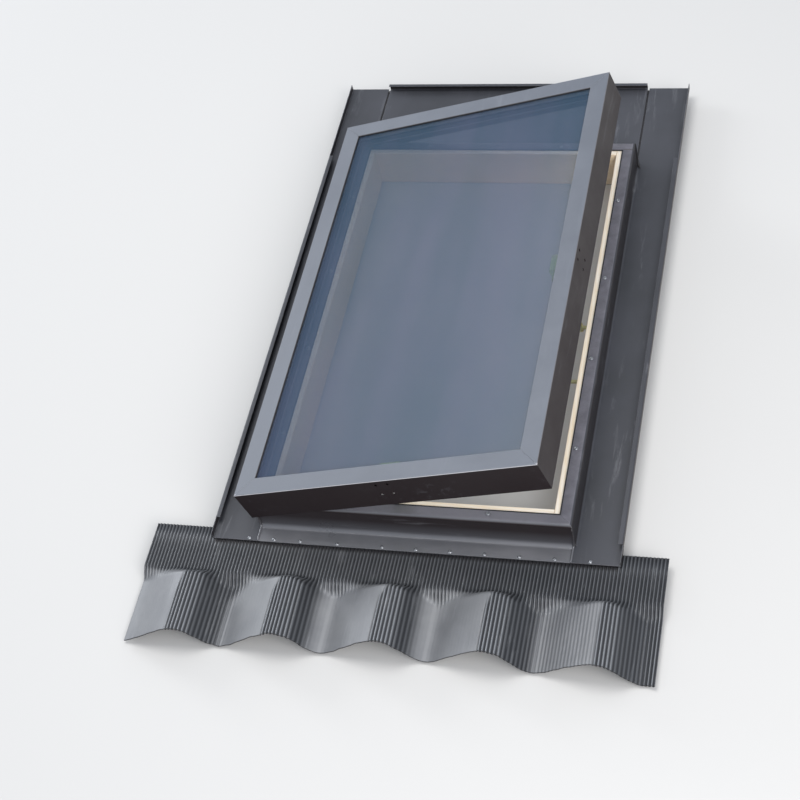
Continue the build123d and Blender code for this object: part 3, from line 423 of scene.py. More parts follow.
def dressedMetal(name, s):
    # Pleated sheet: painted shade in its folds and painted highlight on its ridges, as the ridge attribute gives
    # them, the plain mottled colour where it is pressed flat, and a painted shadow along its raw edge and under
    # the hem
    material, tree, shader = newMaterial(name)
    place = addNode(tree, "TexCoord").outputs["Object"]
    pressed, ridge, rimShadow = [
        addNode(tree, "Attribute", attribute_name=label).outputs["Fac"] for label in ("pressed", "ridge", "rimShadow")
    ]
    patches = mottled(tree, place, s)
    # The ridge attribute carries painted light and shade: dark folds, lit ridges, a darker band and darker falling
    # slopes
    ridgeLightShare = maths(tree, "POWER", ridge, s["ridgePower"])
    pleatLightAndShade = mixColors(tree, ridgeLightShare, linear(s["foldShadeColor"]), linear(s["ridgeHighlightColor"]))
    base = mixColors(tree, pressed, pleatLightAndShade, patches["Color"])
    marked = mixColors(tree, scuffed(tree, place, s), base, linear(s["scuffColor"]))
    spread = maths(tree, "MULTIPLY", patches["Mask"], s["roughnessSpread"])
    setInputs(tree, shader, {
        "Base Color": mixColors(tree, rimShadow, marked, linear(s["rimShadowColor"])),
        "Roughness": maths(tree, "ADD", remap(tree, pressed, target=s["roughness"]), spread),
        "Metallic": s["metallic"],
        "Normal": relief(tree, peeled(tree, place, s), s["peelStrength"], s["peelDepth"]),
    })
    return material


apronCoat = dressedMetal("apronCoat", {
    "color": "77797d", "patchColor": "848689", "foldShadeColor": "2b2d31", "ridgeHighlightColor": "82858a",
    "scuffColor": "b0b2b6", "rimShadowColor": "1f1f22", "ridgePower": 1.6, "patchScale": 16.0,
    "scuffStretch": (1.0, 0.12, 1.0), "scuffScale": 70.0, "scuffCover": 0.4, "roughness": (0.34, 0.50),
    "roughnessSpread": 0.1, "metallic": 0.35, "peelScale": 900.0, "peelStrength": 0.12, "peelDepth": 0.0003,
})


def bareMetal(name, s):
    # Plated or mill-finish metal with soft patches, a fine grain and brighter edges
    material, tree, shader = newMaterial(name)
    place = addNode(tree, "TexCoord").outputs["Object"]
    patches = mottled(tree, place, s)
    edge = useGroup(tree, softEdge, {"Radius": s["edgeRadius"]})
    edgeShare = maths(tree, "MULTIPLY", edge["Edge"], s["edgeCover"])
    setInputs(tree, shader, {
        "Base Color": mixColors(tree, edgeShare, patches["Color"], linear(s["edgeColor"])),
        "Roughness": remap(tree, patches["Mask"], target=s["roughness"]), "Metallic": s["metallic"],
        "Normal": relief(tree, peeled(tree, place, s), s["peelStrength"], s["peelDepth"], Normal=edge["Normal"]),
    })
    return material


bareBase = {
    "patchScale": 60.0, "roughness": (0.28, 0.42), "metallic": 0.9, "edgeRadius": 0.0003, "edgeCover": 0.5,
    "peelScale": 1400.0, "peelStrength": 0.15, "peelDepth": 0.0002,
}
bareSettings = {
    "passivatedSteel": {"color": "c9c59a", "patchColor": "b7b690", "edgeColor": "ecebd6"},
    # Painted light: the pale green-yellow is lifted almost to white and kept non-metallic, so that the bracket
    # stays bright in the shade under the sash and glass
    "bracketSteel": {"color": "f6ffd2", "patchColor": "e6fbbc", "edgeColor": "f8fbe4", "metallic": 0.0},
    "zincSteel": {"color": "b9bcc0", "patchColor": "a4a8ad", "edgeColor": "dcdee0"},
    "screwSteel": {"color": "a2a5aa", "patchColor": "8d9096", "edgeColor": "d6d8da"},
    "spacerMetal": {"color": "8c8f94", "patchColor": "83868b", "edgeColor": "b9bbbd", "metallic": 0.7},
    "keyMetal": {"color": "c2c4c6", "patchColor": "b3b5b8", "edgeColor": "dddede"},
    "rivetMetal": {
        "color": "989ba0", "patchColor": "83868b", "edgeColor": "c8cacd", "metallic": 0.75,
        "roughness": (0.22, 0.32),
    },
}
bareMetals = {name: bareMetal(name, {**bareBase, **own}) for name, own in bareSettings.items()}


def lacqueredWood(name, s):
    material, tree, shader = newMaterial(name)
    coordinates = addNode(tree, "TexCoord").outputs
    place = coordinates["Object"]
    lines = useGroup(tree, grain, {"Vector": place, "Stretch": s["stretch"]})
    tone = mixColors(tree, lines["Rings"], linear(s["paleRing"]), linear(s["darkRing"]))
    shade = mixColors(tree, 1.0, tone, mottled(tree, place, s)["Color"], "MULTIPLY")
    # Painted light and shade: the top faces are lighter, the sides of the boards a little darker
    facing = addNode(tree, "SeparateXYZ", {"Vector": coordinates["Normal"]}).outputs["Z"]
    depth = mixColors(tree, remap(tree, facing, s["topSpan"]), linear(s["shadedSideColor"]), linear(s["color"]))
    edge = useGroup(tree, softEdge, {"Radius": s["edgeRadius"]})
    setInputs(tree, shader, {
        "Base Color": mixColors(tree, 1.0, shade, depth, "MULTIPLY"), "Roughness": s["roughness"],
        "Coat Weight": s["coat"], "Coat Roughness": s["coatRoughness"],
        "Normal": relief(tree, lines["Pores"], s["poreStrength"], s["poreDepth"], Normal=edge["Normal"]),
    })
    return material


# Painted light: the tones are lifted almost to white, so that the boards stay pale in the shade of the sash
woodBase = {
    "paleRing": "fffaf1", "darkRing": "fbf0de", "color": "ffffff", "patchColor": "fbf2e2", "patchScale": 5.0,
    "shadedSideColor": "efe7dc", "topSpan": (0.5, 0.9), "roughness": 0.42, "coat": 0.25, "coatRoughness": 0.2,
    "edgeRadius": 0.001, "poreStrength": 0.2, "poreDepth": 0.0004,
}
woodAlong = lacqueredWood("woodAlongSlope", {**woodBase, "stretch": (9.0, 0.7, 9.0)})
woodAcross = lacqueredWood("woodAcross", {**woodBase, "stretch": (0.7, 9.0, 9.0)})


def softPart(name, s):
    # Rubber and moulded plastic with a faint bloom
    material, tree, shader = newMaterial(name)
    place = addNode(tree, "TexCoord").outputs["Object"]
    edge = useGroup(tree, softEdge, {"Radius": s["edgeRadius"]})
    setInputs(tree, shader, {
        "Base Color": mottled(tree, place, s)["Color"], "Roughness": s["roughness"],
        "Normal": relief(tree, peeled(tree, place, s), s["peelStrength"], s["peelDepth"], Normal=edge["Normal"]),
    })
    return material


softBase = {
    "patchScale": 40.0, "edgeRadius": 0.0004, "peelScale": 700.0, "peelStrength": 0.2, "peelDepth": 0.0002,
}
blackRubber = softPart("blackRubber", {**softBase, "color": "17171a", "patchColor": "222225", "roughness": 0.55})
blockPlastic = softPart("blockPlastic", {**softBase, "color": "3a3a3c", "patchColor": "454547", "roughness": 0.45})


def paneGlass(name, s):
    # A pane that holds back part of what lies behind it, in a blue colour that is partly its tint and partly
    # painted sky reflection, with an uneven cover and painted reflection streaks down the slope
    material, tree, shader = newMaterial(name)
    place = addNode(tree, "TexCoord").outputs["Object"]
    setInputs(tree, shader, {
        "Base Color": mottled(tree, stretch(tree, place, s["reflectionStreaks"]), s)["Color"],
        "Alpha": remap(tree, noise(tree, place, s["coverNoise"]), target=s["cover"]),
        "Roughness": s["roughness"], "IOR": s["refraction"],
        "Coat Weight": s["coat"], "Coat Roughness": s["coatRoughness"],
    })
    return material


glassBase = {
    "patchScale": 7.0, "reflectionStreaks": (1.0, 0.14, 1.0), "coverNoise": {"Scale": 9.0, "Detail": 3.0},
    "roughness": 0.04, "refraction": 1.52, "coat": 0.6, "coatRoughness": 0.02,
}
outerGlass = paneGlass("outerGlass", {
    **glassBase, "color": "2b4d66", "patchColor": "535d7a", "cover": (0.34, 0.38),
})
innerGlass = paneGlass("innerGlass", {
    **glassBase, "color": "3f5a78", "patchColor": "4d667f", "cover": (0.10, 0.13),
})
print("materials made")

finishes = {
    sashCoat: "sash_left sash_right sash_front sash_rear",
    beadCoat: "glazing_bead_left glazing_bead_right glazing_bead_front glazing_bead_rear",
    flashingCoat: "flashing_left flashing_right flashing_top",
    litFrontCoat: "flashing_front",
    apronCoat: "apron",
    hingeCoat: "hinge_frame_leaf_front hinge_frame_leaf_rear hinge_sash_leaf_front hinge_sash_leaf_rear "
               "hinge_pin_front hinge_pin_rear",
    bareMetals["passivatedSteel"]: "stay_bar stay_pivot catch_plate catch_pins",
    bareMetals["bracketSteel"]: "stay_bracket spare_bracket",
    bareMetals["zincSteel"]: "fixing_bracket_front_left fixing_bracket_front_right "
                             "fixing_bracket_rear_left fixing_bracket_rear_right",
    bareMetals["screwSteel"]: "frame_screws lip_screws fixing_screws hinge_screws catch_screws bracket_screws",
    bareMetals["rivetMetal"]: "apron_rivets hinge_rivets",
    bareMetals["spacerMetal"]: "glass_spacer",
    bareMetals["keyMetal"]: "sash_corner_keys",
    woodAlong: "frame_left frame_right",
    woodAcross: "frame_sill frame_head",
    blackRubber: "frame_seal sash_seal glazing_gasket inner_gasket glass_edge_seal",
    blockPlastic: "setting_blocks stay_washer",
    outerGlass: "outer_pane",
    innerGlass: "inner_pane",
}
for material, names in finishes.items():
    for name in names.split():
        mesh = nodes[name].data
        mesh.materials.clear()
        mesh.materials.append(material)
print("finishes given to the nodes")

# Pleated apron, dressed by hand: the same waves as the plain solid, with round pleats that
# are pressed flat on the rising side of each wave, and puckers under the crease.
# Lengths are in millimetres, places on a wave are shares of its pitch after the crest.
apronSettings = {
    "left": -393.3, "right": 364.3, "samplesPerPleat": 6, "sheet": 0.8, "clearance": 0.1,
    "pleatPitch": 5.2, "pleatOffset": -4.0, "pleatHeight": 3.0, "tuckedHeight": 1.4, "pressedHeight": 0.12,
    "tuck": -387.0, "hem": -407.0, "crease": -463.0, "waveStart": -482.0, "endEdge": -580.0, "middleEdge": -571.0,
    "bandTop": 19.9, "wavePitch": 150.0, "waveCrest": -12.0, "waveSkew": 0.29,
    "waveHeight": 46.0, "waveFloor": 4.0, "endDroop": 0.2,
    # rows of points: how far past the hem, from where to where on the flat band, and how many
    "hemRows": (0.0, 3.0, 5.0, 8.0), "hemBlend": 14.0, "bandEnd": 6.0, "slopeStart": 4.0,
    "upperRows": 6, "creaseRows": 15, "lowerRows": 24, "lastShare": 0.985,
    # for each wave: pressed from and to at the crease, from and to at the edge, how flat
    "firstWave": -3, "pressed": (
        (0.40, 1.00, 0.28, 0.96, 1.0), (0.46, 0.98, 0.34, 0.91, 1.0), (0.24, 1.05, 0.22, 0.95, 1.0),
        (0.22, 1.02, 0.22, 0.96, 1.0), (0.34, 1.02, 0.34, 1.00, 0.8),
    ),
    "pressedFade": 0.12, "pressedStop": 0.04, "pressedTurn": 0.4,
    "waveSplit": 0.2, "fallStart": (1.12, 1.18), "fallEnd": (0.36, 0.5), "fallShare": 0.45,
    "trough": 0.42, "troughWidth": 0.16, "puckerLength": 16.0, "puckerHeight": 3.8,
    "bendTop": 4.0, "foldTop": 1.0, "puckerTop": 5.0, "foldBottom": 6.0,  # from the crease
    "fallShade": 0.5, "bandShade": 0.62, "puckerShade": 0.55, "hemShade": (8.0, 3.0), "hemHalfWidth": 297.0,
    # reach, step and seed of what a hand leaves uneven
    "uneven": {
        "edge": (0.7, 9.0, 12), "drift": (0.6, 60.0, 13), "height": (0.22, 17.0, 11),
        "crease": (1.2, 26.0, 15), "pucker": (0.4, 7.0, 16),
    },
    # place across, place along, half width across, half width along, depth
    "dents": (
        (-330, -520, 12, 26, 1.2), (-196, -505, 16, 22, -1.1), (-60, -545, 13, 20, 1.2), (-34, -500, 10, 18, -0.9),
        (84, -520, 12, 24, 1.0), (112, -548, 10, 16, -1.0), (238, -512, 14, 20, 1.1), (262, -545, 10, 18, -0.9),
    ),
}


def smoothStep(low, high, value):
    share = np.clip((value - low) / (high - low), 0, 1)
    return share * share * (3 - 2 * share)


def softNoise(x, step, seed):
    # Smooth values from -1 to 1 along a line
    source = random.Random(seed)
    knots = np.array([source.uniform(-1, 1) for _ in range(int(np.ptp(x) / step) + 3)])
    place = (x - x.min()) / step
    low = np.floor(place).astype(int)
    share = smoothStep(0, 1, place - low)
    return knots[low] * (1 - share) + knots[low + 1] * share


def setAttribute(mesh, name, values):
    mesh.attributes.new(name, "FLOAT", "POINT").data.foreach_set("value", np.asarray(values, dtype=np.float32))


def apronRows(s):
    # Each row of points as its place along the sheet and its share of the way to the edge
    upper = [s["tuck"]] + [s["hem"] - past for past in s["hemRows"]]
    upper += list(np.linspace(s["hem"] - s["hemBlend"], s["crease"] + s["bandEnd"], s["upperRows"]))
    upper += list(np.linspace(s["crease"] + s["bandEnd"], s["waveStart"] - s["slopeStart"], s["creaseRows"])[1:])
    shares = list(np.linspace(0, s["lastShare"], s["lowerRows"])[1:]) + [1.0]
    return [(y, 0.0) for y in upper] + [(upper[-1], share) for share in shares]


def pressedFlat(s, waves, along):
    # How flat each column is pressed in one row
    flatness = np.zeros(len(waves))
    for wave, (fromTop, toTop, fromEdge, toEdge, flat) in enumerate(s["pressed"], start=s["firstWave"]):
        begin = fromTop + (fromEdge - fromTop) * along
        end = toTop + (toEdge - toTop) * along
        here = smoothStep(begin, begin + s["pressedFade"], waves - wave)
        here *= 1 - smoothStep(end - s["pressedStop"], end, waves - wave)
        flatness = np.maximum(flatness, here * flat)
    return flatness


def makeApron(s, material):
    spacing = s["pleatPitch"] / s["samplesPerPleat"]
    columns = round((s["right"] - s["left"]) / spacing) + 1
    x = np.linspace(s["left"], s["right"], columns)
    uneven = {name: reach * softNoise(x, step, seed) for name, (reach, step, seed) in s["uneven"].items()}
    turn = 2 * np.pi * (x - s["waveCrest"]) / s["wavePitch"]
    phase = turn + s["waveSkew"] * (1 - np.cos(turn))
    droop = 1 - s["endDroop"] * (x / s["left"]) ** 2
    waveMiddle = s["waveFloor"] + s["waveHeight"] * droop * (1 + np.cos(phase)) / 2
    waves = (x - s["waveCrest"]) / s["wavePitch"]
    onWave = (waves - s["waveSplit"]) % 1 + s["waveSplit"]
    edge = s["middleEdge"] + (s["endEdge"] - s["middleEdge"]) * (x / s["left"]) ** 2
    edge = np.maximum(edge + uneven["edge"], s["endEdge"] + s["clearance"])
    crease = s["crease"] + uneven["crease"]
    fallen = crease - s["foldBottom"]
    trough = np.exp(-((onWave - s["trough"]) / s["troughWidth"]) ** 2)
    reach = fallen - s["puckerLength"] * trough * (1 + uneven["pucker"])
    onFall = smoothStep(*s["fallStart"], onWave) + 1 - smoothStep(*s["fallEnd"], onWave)
    pressedEnd = (1 - s["pressedTurn"]) * s["crease"] + s["pressedTurn"] * s["endEdge"]
    rows = apronRows(s)
    vertices, pressedValues, pleatLightValues, rimShadowValues = [], [], [], []
    for start, share in rows:
        y = start + (edge - start) * share
        tucked = smoothStep(s["hem"] - s["hemBlend"], s["hem"], y)
        down = smoothStep(crease + s["bendTop"], s["waveStart"] + crease - s["crease"], y)
        pressed = pressedFlat(s, waves, smoothStep(s["crease"], pressedEnd, y))
        pressed *= smoothStep(crease + s["foldTop"], fallen, y)
        pucker = trough * smoothStep(crease + s["foldTop"], crease - s["puckerTop"], y)
        pucker *= 1 - smoothStep(fallen, reach, y)
        wavePleat = s["pleatHeight"] * (1 - (1 - s["fallShare"]) * onFall) * (1 + uneven["height"])
        wavePleat = wavePleat * (1 - pressed) + s["pressedHeight"] * pressed
        wavePleat = np.maximum(wavePleat, s["puckerHeight"] * pucker)
        bandPleat = s["pleatHeight"] * (1 - tucked) + s["tuckedHeight"] * tucked
        pleat = bandPleat * (1 - down) + wavePleat * down
        bandMiddle = s["bandTop"] - bandPleat / 2 - s["sheet"] / 2
        middle = bandMiddle * (1 - down) + waveMiddle * down
        shift = uneven["drift"] * smoothStep(s["crease"], s["endEdge"], y)
        fold = np.cos(2 * np.pi * (x - s["pleatOffset"] + shift) / s["pleatPitch"])
        z = middle + pleat * fold / 2
        for placeX, placeY, wide, long, depth in s["dents"]:
            away = ((x - placeX) / wide) ** 2 + ((y - placeY) / long) ** 2
            z = z + depth * np.exp(-away)
        z = np.maximum(z, s["sheet"] + s["clearance"])
        vertices += list(zip(x * mm, y * mm, (z + s["sheet"] / 2) * mm))
        pressedValues += list(pressed * (1 - s["puckerShade"] * pucker * (1 - fold)))
        # Painted light and shade of the pleats: lit ridges, dark folds, and darker on the band and on the falling
        # slopes of the waves
        lit = (s["bandShade"] + (1 - s["bandShade"]) * down) * (1 - s["fallShade"] * onFall * down)
        pleatLightValues += list(lit * (1 + fold) / 2)
        # Painted shadow under the hem and along the raw lower edge
        hemShade = smoothStep(*under(s["hem"], s["hemShade"]), start) if share == 0 else 0.0
        rimShadowValues += [1.0] * columns if share == 1 else list(hemShade * (np.abs(x) < s["hemHalfWidth"]))
    corners = [row * columns + column for row in range(len(rows) - 1) for column in range(columns - 1)]
    faces = [(corner, corner + columns, corner + columns + 1, corner + 1) for corner in corners]
    mesh = bpy.data.meshes.new("pleatedApron")
    mesh.from_pydata(vertices, [], faces)
    mesh.polygons.foreach_set("use_smooth", [True] * len(faces))
    for name, values in (("pressed", pressedValues), ("ridge", pleatLightValues), ("rimShadow", rimShadowValues)):
        setAttribute(mesh, name, values)
    mesh.materials.append(material)
    apron = newObject("pleated_apron", mesh)
    thickness = apron.modifiers.new("thickness", "SOLIDIFY")
    thickness.thickness = s["sheet"] * mm
    thickness.offset = -1
    return apron


pleatedApron = makeApron(apronSettings, apronCoat)
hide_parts("apron")
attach(pleatedApron, "frame")
print("apron dressed,", len(pleatedApron.data.polygons), "faces")

# Sealing tape under the two rear seams, squeezed up between the sheets. Lengths in millimetres.
tapeSettings = {
    "seam": 231.5, "halfWidth": 10.0, "rear": 556.0, "front": 366.0, "steps": 60, "bottom": 19.7, "top": 20.95,
    "gap": 0.8, "foot": 0.4, "bead": 21.5, "beadRound": 0.15,
    "waver": 0.7, "waverStep": 13.0, "beadWaver": 0.2, "seed": 23,
}


def makeTapes(s, material):
    tape = bmesh.new()
    y = np.linspace(s["front"], s["rear"], s["steps"])
    for side in (-1, 1):
        rings = []
        for place, shift in zip(y, s["waver"] * softNoise(y, s["waverStep"], s["seed"] + side)):
            bead = s["bead"] + s["beadWaver"] * shift
            section = [
                (-s["halfWidth"] + shift, s["top"]), (-s["halfWidth"] + shift, s["bottom"]),
                (s["halfWidth"] + shift, s["bottom"]), (s["halfWidth"] + shift, s["top"]),
                (s["gap"] + s["foot"], s["top"]), (s["gap"], bead - s["beadRound"]), (0.0, bead),
                (-s["gap"], bead - s["beadRound"]), (-s["gap"] - s["foot"], s["top"]),
            ]
            rings.append([tape.verts.new(((side * s["seam"] + dx) * mm, place * mm, z * mm)) for dx, z in section])
        joinRings(tape, rings, False)
    mesh = finishedMesh(tape, "seamTapes")
    mesh.materials.append(material)
    return newObject("seam_tapes", mesh)


seamTapes = makeTapes(tapeSettings, blackRubber)
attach(seamTapes, "frame")
print("seam tapes laid")

# Folded seams at the corners of the kerb: a round ridge that runs across the front flange and up the corner, and a
# black tube down each rear corner as a painted shadow of the gap where the sheets lap. Lengths in millimetres,
# path as across, along, height, radius.
seamSettings = {
    "front_seams": (
        (230.6, -406.4, 22.0, 1.1), (230.6, -404.0, 22.2, 1.5), (230.7, -396.0, 22.2, 1.6),
        (230.8, -388.0, 22.2, 1.6), (231.0, -383.5, 22.6, 1.7), (231.5, -380.8, 24.4, 1.8),
        (231.9, -379.6, 28.0, 1.7), (232.0, -379.2, 34.0, 1.5), (232.0, -378.9, 40.0, 0.9),
        (232.0, -378.6, 46.0, 0.6), (232.0, -378.6, 62.0, 0.5),
    ),
    "rear_seams": (
        (232.4, 376.8, 67.4, 0.6), (232.9, 376.9, 64.0, 1.1), (233.2, 376.8, 52.0, 1.2),
        (233.4, 376.2, 40.0, 1.4), (234.2, 374.4, 30.0, 1.7), (235.6, 371.4, 24.6, 1.9),
        (237.4, 367.6, 22.2, 1.5), (238.6, 364.8, 21.8, 0.6),
    ),
    "between": 4, "around": 12,  # rings from one place of the path to the next, corners of a ring
}


def makeSeams(s, name, material):
    ridge = bmesh.new()
    path = np.array(s[name])
    places = np.linspace(0, len(path) - 1, (len(path) - 1) * s["between"] + 1)
    line = np.stack([np.interp(places, range(len(path)), column) for column in path.T], axis=1).tolist()
    across = Vector((1.0, 0.0, 0.0))
    for side in (-1, 1):
        rings = []
        for index, (x, y, z, radius) in enumerate(line):
            ahead = Vector(line[min(index + 1, len(line) - 1)][:3]) - Vector(line[max(index - 1, 0)][:3])
            upward = across.cross(ahead).normalized()
            ring = []
            for step in range(s["around"]):
                angle = 2 * math.pi * step / s["around"]
                point = Vector((x, y, z)) + radius * (math.cos(angle) * across + math.sin(angle) * upward)
                ring.append(ridge.verts.new((side * point.x * mm, point.y * mm, point.z * mm)))
            rings.append(ring)
        joinRings(ridge, rings, True)
    mesh = finishedMesh(ridge, name)
    mesh.materials.append(material)
    return newObject(name, mesh)


frontSeams = makeSeams(seamSettings, "front_seams", litFrontCoat)
# Black tubes as a painted shadow down the rear corners
rearShadowSeams = makeSeams(seamSettings, "rear_seams", blackRubber)
for seams in (frontSeams, rearShadowSeams):
    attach(seams, "frame")
print("corner seams folded")

# Screws and rivets with real heads, one set in place of each plain solid. Lengths in millimetres.
fastenerSettings = {
    # kind, head radius, head height, shank radius, length and the slot of the finish
    "sets": {
        "lip_screws": ("pan", 3.3, 2.0, 1.75, 20.0, "screw_steel"),
        "frame_screws": ("pan", 4.7, 3.0, 2.5, 60.0, "screw_steel"),
        "fixing_screws": ("pan", 3.6, 1.2, 2.0, 18.0, "screw_steel"),
        "hinge_screws": ("sunk", 3.8, 0.0, 2.0, 20.0, "screw_steel"),
        "catch_screws": ("sunk", 3.2, 0.0, 1.75, 16.0, "screw_steel"),
        "bracket_screws": ("sunk", 2.9, 0.0, 1.5, None, "screw_steel"),
        "apron_rivets": ("rivet", 3.0, 1.2, 1.6, None, "rivet_metal"),
        "hinge_rivets": ("rivet", 3.0, 1.2, 1.6, None, "rivet_metal"),
    },
    "facing": {
        "bracket_screws": (-sashUp[0], 0.0, -sashUp[2]),
        "apron_rivets": (0.0, 0.0, 1.0),
        "hinge_rivets": (-sashUp[2], 0.0, sashUp[0]),
    },
    "finishes": {"screw_steel": bareMetals["screwSteel"], "rivet_metal": bareMetals["rivetMetal"]},
    # shares of the head's radius and height, from the middle out
    "panHead": ((0, 1), (0.4, 0.99), (0.68, 0.9), (0.88, 0.68), (0.98, 0.36), (1, 0.1), (0.97, 0)),
    "rivetHead": ((0, 0.55), (0.2, 0.55), (0.26, 0.9), (0.5, 1), (0.78, 0.72), (0.95, 0.3), (1, 0)),
    "tailRadius": 2.6, "tailEnd": 1.6, "tailShare": 0.4,
    "sunkFlat": 0.94, "sunkRim": 0.99, "sunkRimDrop": 0.15, "sunkEdgeDrop": 0.3, "sunkEdge": 0.1, "tipShare": 0.25,
    "crossWidth": 0.15, "crossReach": 0.62, "crossDepth": 1.4, "crossAbove": 0.5, "crossTaper": (1.15, 0.4),
    "segments": 24, "sharpAngle": 38.0, "weld": 1e-6, "seed": 5,
}


def nodeIslands(name, weld):
    # The corners of each separate solid in a node, one array for each
    source = bmesh.new()
    source.from_mesh(nodes[name].data)
    bmesh.ops.remove_doubles(source, verts=source.verts, dist=weld)
    islands, seen = [], set()
    for first in source.verts:
        if first.index in seen:
            continue
        seen.add(first.index)
        waiting, island = [first], []
        while waiting:
            corner = waiting.pop()
            island.append(tuple(corner.co))
            for edge in corner.link_edges:
                other = edge.other_vert(corner)
                if other.index not in seen:
                    seen.add(other.index)
                    waiting.append(other)
        islands.append(np.array(island))
    source.free()
    return islands


def fastenerPlace(island, facing, headHeight):
    # The seat under the head, the direction that the head faces, and the length behind the seat
    if facing is None:
        # Along the solid, toward the quarter that is wider
        middle = (island.max(0) + island.min(0)) / 2
        facing = np.linalg.svd(island - middle, full_matrices=False)[2][0]
        along = (island - middle) @ facing
        radius = np.linalg.norm(island - middle - np.outer(along, facing), axis=1)
        reach = np.ptp(along) / 4
        if radius[along < along.min() + reach].max() > radius[along > along.max() - reach].max():
            facing = -facing
    facing = np.array(facing)
    # Two directions across it, from an axis that it isn't close to
    side = np.cross(facing, (0.0, 1.0, 0.0) if abs(facing[1]) < 0.9 else (1.0, 0.0, 0.0))
    side /= np.linalg.norm(side)
    rise = np.cross(facing, side)
    place = sum((np.max(island @ axis) + np.min(island @ axis)) / 2 * axis for axis in (side, rise))
    seat = np.max(island @ facing) - headHeight * mm
    return place + seat * facing, facing, (seat - np.min(island @ facing)) / mm


def turnedMesh(name, profile, segments):
    # A turned shape from its radius and height steps in millimetres, top first
    turned = bmesh.new()
    angles = [2 * math.pi * step / segments for step in range(segments)]
    rings = []
    for radius, height in profile:
        if radius == 0:
            rings.append([turned.verts.new((0, 0, height * mm))] * segments)
            continue
        around = [(radius * math.cos(a) * mm, radius * math.sin(a) * mm, height * mm) for a in angles]
        rings.append([turned.verts.new(corner) for corner in around])
    for upper, lower in zip(rings, rings[1:]):
        for step in range(segments):
            after = (step + 1) % segments
            corners = [upper[step], lower[step], lower[after], upper[after]]
            turned.faces.new(list(dict.fromkeys(corners)))
    return finishedMesh(turned, name)


def crossCutter(radius, top, s):
    # The tapered cross of a driver's tip
    cutter = bmesh.new()
    wide, reach = s["crossWidth"] * radius, s["crossReach"] * radius
    outline = []
    for quarter in range(4):
        for x, y in ((reach, -wide), (reach, wide), (wide, wide)):
            a = quarter * math.pi / 2
            outline.append((x * math.cos(a) - y * math.sin(a), x * math.sin(a) + y * math.cos(a)))
    levels = []
    for height, share in zip((top + s["crossAbove"], top - s["crossDepth"]), s["crossTaper"]):
        levels.append([cutter.verts.new((x * share * mm, y * share * mm, height * mm)) for x, y in outline])
    cutter.faces.new(levels[0])
    cutter.faces.new(levels[1])
    for step in range(len(outline)):
        after = (step + 1) % len(outline)
        cutter.faces.new((levels[0][step], levels[1][step], levels[1][after], levels[0][after]))
    return finishedMesh(cutter, "crossCutter")


def evaluatedMesh(made, helper):
    # The mesh that an object's modifiers give, after which it and its helper are removed
    bpy.context.view_layer.update()
    mesh = bpy.data.meshes.new_from_object(made.evaluated_get(bpy.context.evaluated_depsgraph_get()))
    for used in (made, helper):
        bpy.data.objects.remove(used)
    return mesh


def fastenerMesh(kind, radius, height, shank, length, s):
    if kind == "rivet":
        profile = [(across * radius, up * height) for across, up in s["rivetHead"]]
        profile += [
            (shank, 0), (shank, height - length), (s["tailRadius"], height - length),
            (s["tailRadius"], s["tailShare"] * height - length), (s["tailEnd"], -length), (0, -length),
        ]
        return turnedMesh("rivetHead", profile, s["segments"])
    if kind == "pan":
        profile = [(across * radius, up * height) for across, up in s["panHead"]] + [(shank, 0)]
    else:
        profile = [
            (0, 0), (s["sunkFlat"] * radius, 0), (s["sunkRim"] * radius, -s["sunkRimDrop"]),
            (radius - s["sunkEdge"], -s["sunkEdgeDrop"]), (shank, shank - radius),
        ]
    profile += [(shank, 2 * shank - length), (s["tipShare"] * shank, -length), (0, -length)]
    blank = newObject("screwBlank", turnedMesh("screwBlank", profile, s["segments"]))
    cutter = newObject("crossCutter", crossCutter(radius, height, s))
    cut = blank.modifiers.new("cross", "BOOLEAN")
    cut.operation = "DIFFERENCE"
    cut.solver = "EXACT"
    cut.object = cutter
    return evaluatedMesh(blank, cutter)


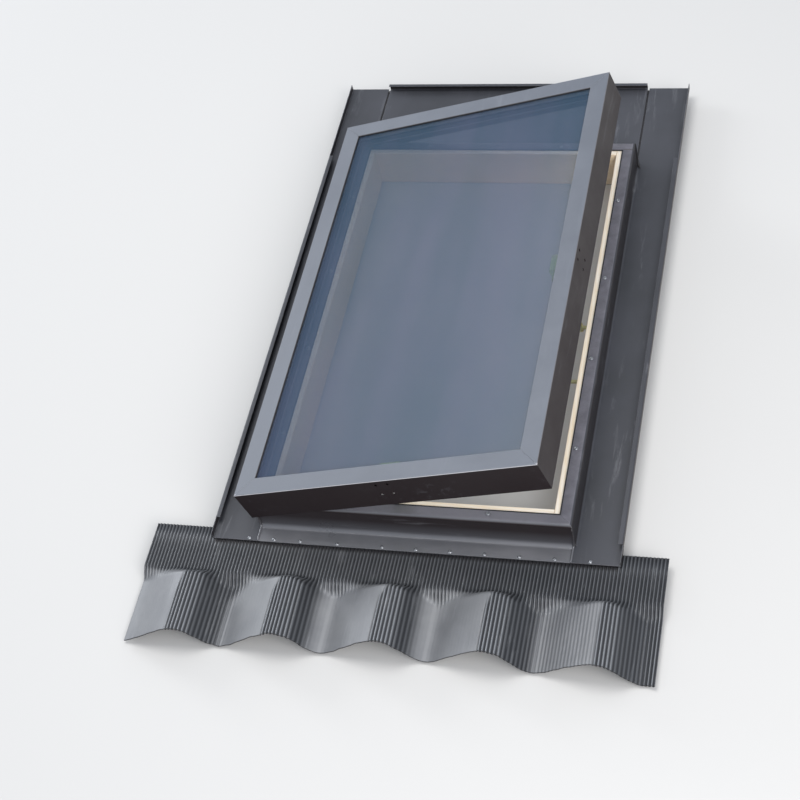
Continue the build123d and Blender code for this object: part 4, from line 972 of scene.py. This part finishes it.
def makeFastenerTree():
    # A fastener on each point, its head along the point's facing, turned at random about it
    sockets = {"Points": "Geometry", "Fastener": "Object", "Spin": "Float", "Seed": "Int", "Finish": "Material"}
    tree, inputs, output = newGroup("placeFasteners", sockets, {"Geometry": "Geometry"}, "GeometryNodeTree")
    shape = anyNode(tree, "GeometryNodeObjectInfo", {"Object": inputs["Fastener"]})
    facing = anyNode(tree, "GeometryNodeInputNamedAttribute", {"Name": "facing"}, data_type="FLOAT_VECTOR")
    aimed = anyNode(tree, "FunctionNodeAlignRotationToVector", {"Vector": facing.outputs["Attribute"]}, axis="Z")
    placed = anyNode(tree, "GeometryNodeInstanceOnPoints", {
        "Points": inputs["Points"], "Instance": shape.outputs["Geometry"], "Rotation": aimed.outputs["Rotation"],
    })
    spin = anyNode(
        tree, "FunctionNodeRandomValue", {"Max": inputs["Spin"], "Seed": inputs["Seed"]}, data_type="FLOAT"
    )
    about = anyNode(tree, "FunctionNodeAxisAngleToRotation", {"Axis": (0, 0, 1), "Angle": spin.outputs["Value"]})
    turned = anyNode(tree, "GeometryNodeRotateInstances", {
        "Local Space": True, "Instances": placed.outputs["Instances"], "Rotation": about.outputs["Rotation"],
    })
    real = anyNode(tree, "GeometryNodeRealizeInstances", {"Geometry": turned.outputs["Instances"]})
    finished = anyNode(
        tree, "GeometryNodeSetMaterial", {"Geometry": real.outputs["Geometry"], "Material": inputs["Finish"]}
    )
    setInputs(tree, output, {"Geometry": finished.outputs["Geometry"]})
    return tree


def setModifier(modifier, values):
    for socket in modifier.node_group.interface.items_tree:
        if socket.name in values and socket.in_out == "INPUT":
            modifier[socket.identifier] = values[socket.name]


def makeFasteners(node, tree, s):
    kind, radius, height, shank, length, slot = s["sets"][node]
    places = [fastenerPlace(island, s["facing"].get(node), height) for island in nodeIslands(node, s["weld"])]
    template = newObject("template", fastenerMesh(kind, radius, height, shank, length or places[0][2], s))
    points = bpy.data.meshes.new("points")
    points.from_pydata([tuple(place) for place, facing, depth in places], [], [])
    facings = np.concatenate([facing for place, facing, depth in places]).astype(np.float32)
    points.attributes.new("facing", "FLOAT_VECTOR", "POINT").data.foreach_set("vector", facings)
    carrier = newObject("carrier", points)
    modifier = carrier.modifiers.new("fasteners", "NODES")
    modifier.node_group = tree
    setModifier(modifier, {
        "Fastener": template, "Spin": 2 * math.pi, "Seed": s["seed"], "Finish": s["finishes"][slot],
    })
    mesh = evaluatedMesh(carrier, template)
    mesh.shade_smooth()
    mesh.set_sharp_from_angle(angle=math.radians(s["sharpAngle"]))
    piece = newObject(node.replace("_", "_headed_", 1), mesh)
    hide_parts(node)
    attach(piece, bodyOf[node])
    return len(places)


bodyOf = {node: body for body, names in frame["record"]["behaviour"]["bodies"].items() for node in names}
fastenerTree = makeFastenerTree()
for fastenerNode in fastenerSettings["sets"]:
    print(fastenerNode, makeFasteners(fastenerNode, fastenerTree, fastenerSettings), "placed")

placeCamera(cameraSettings)
placeLights(lightSettings)
layFloor(floorSettings)
print("camera, lights and floor placed")
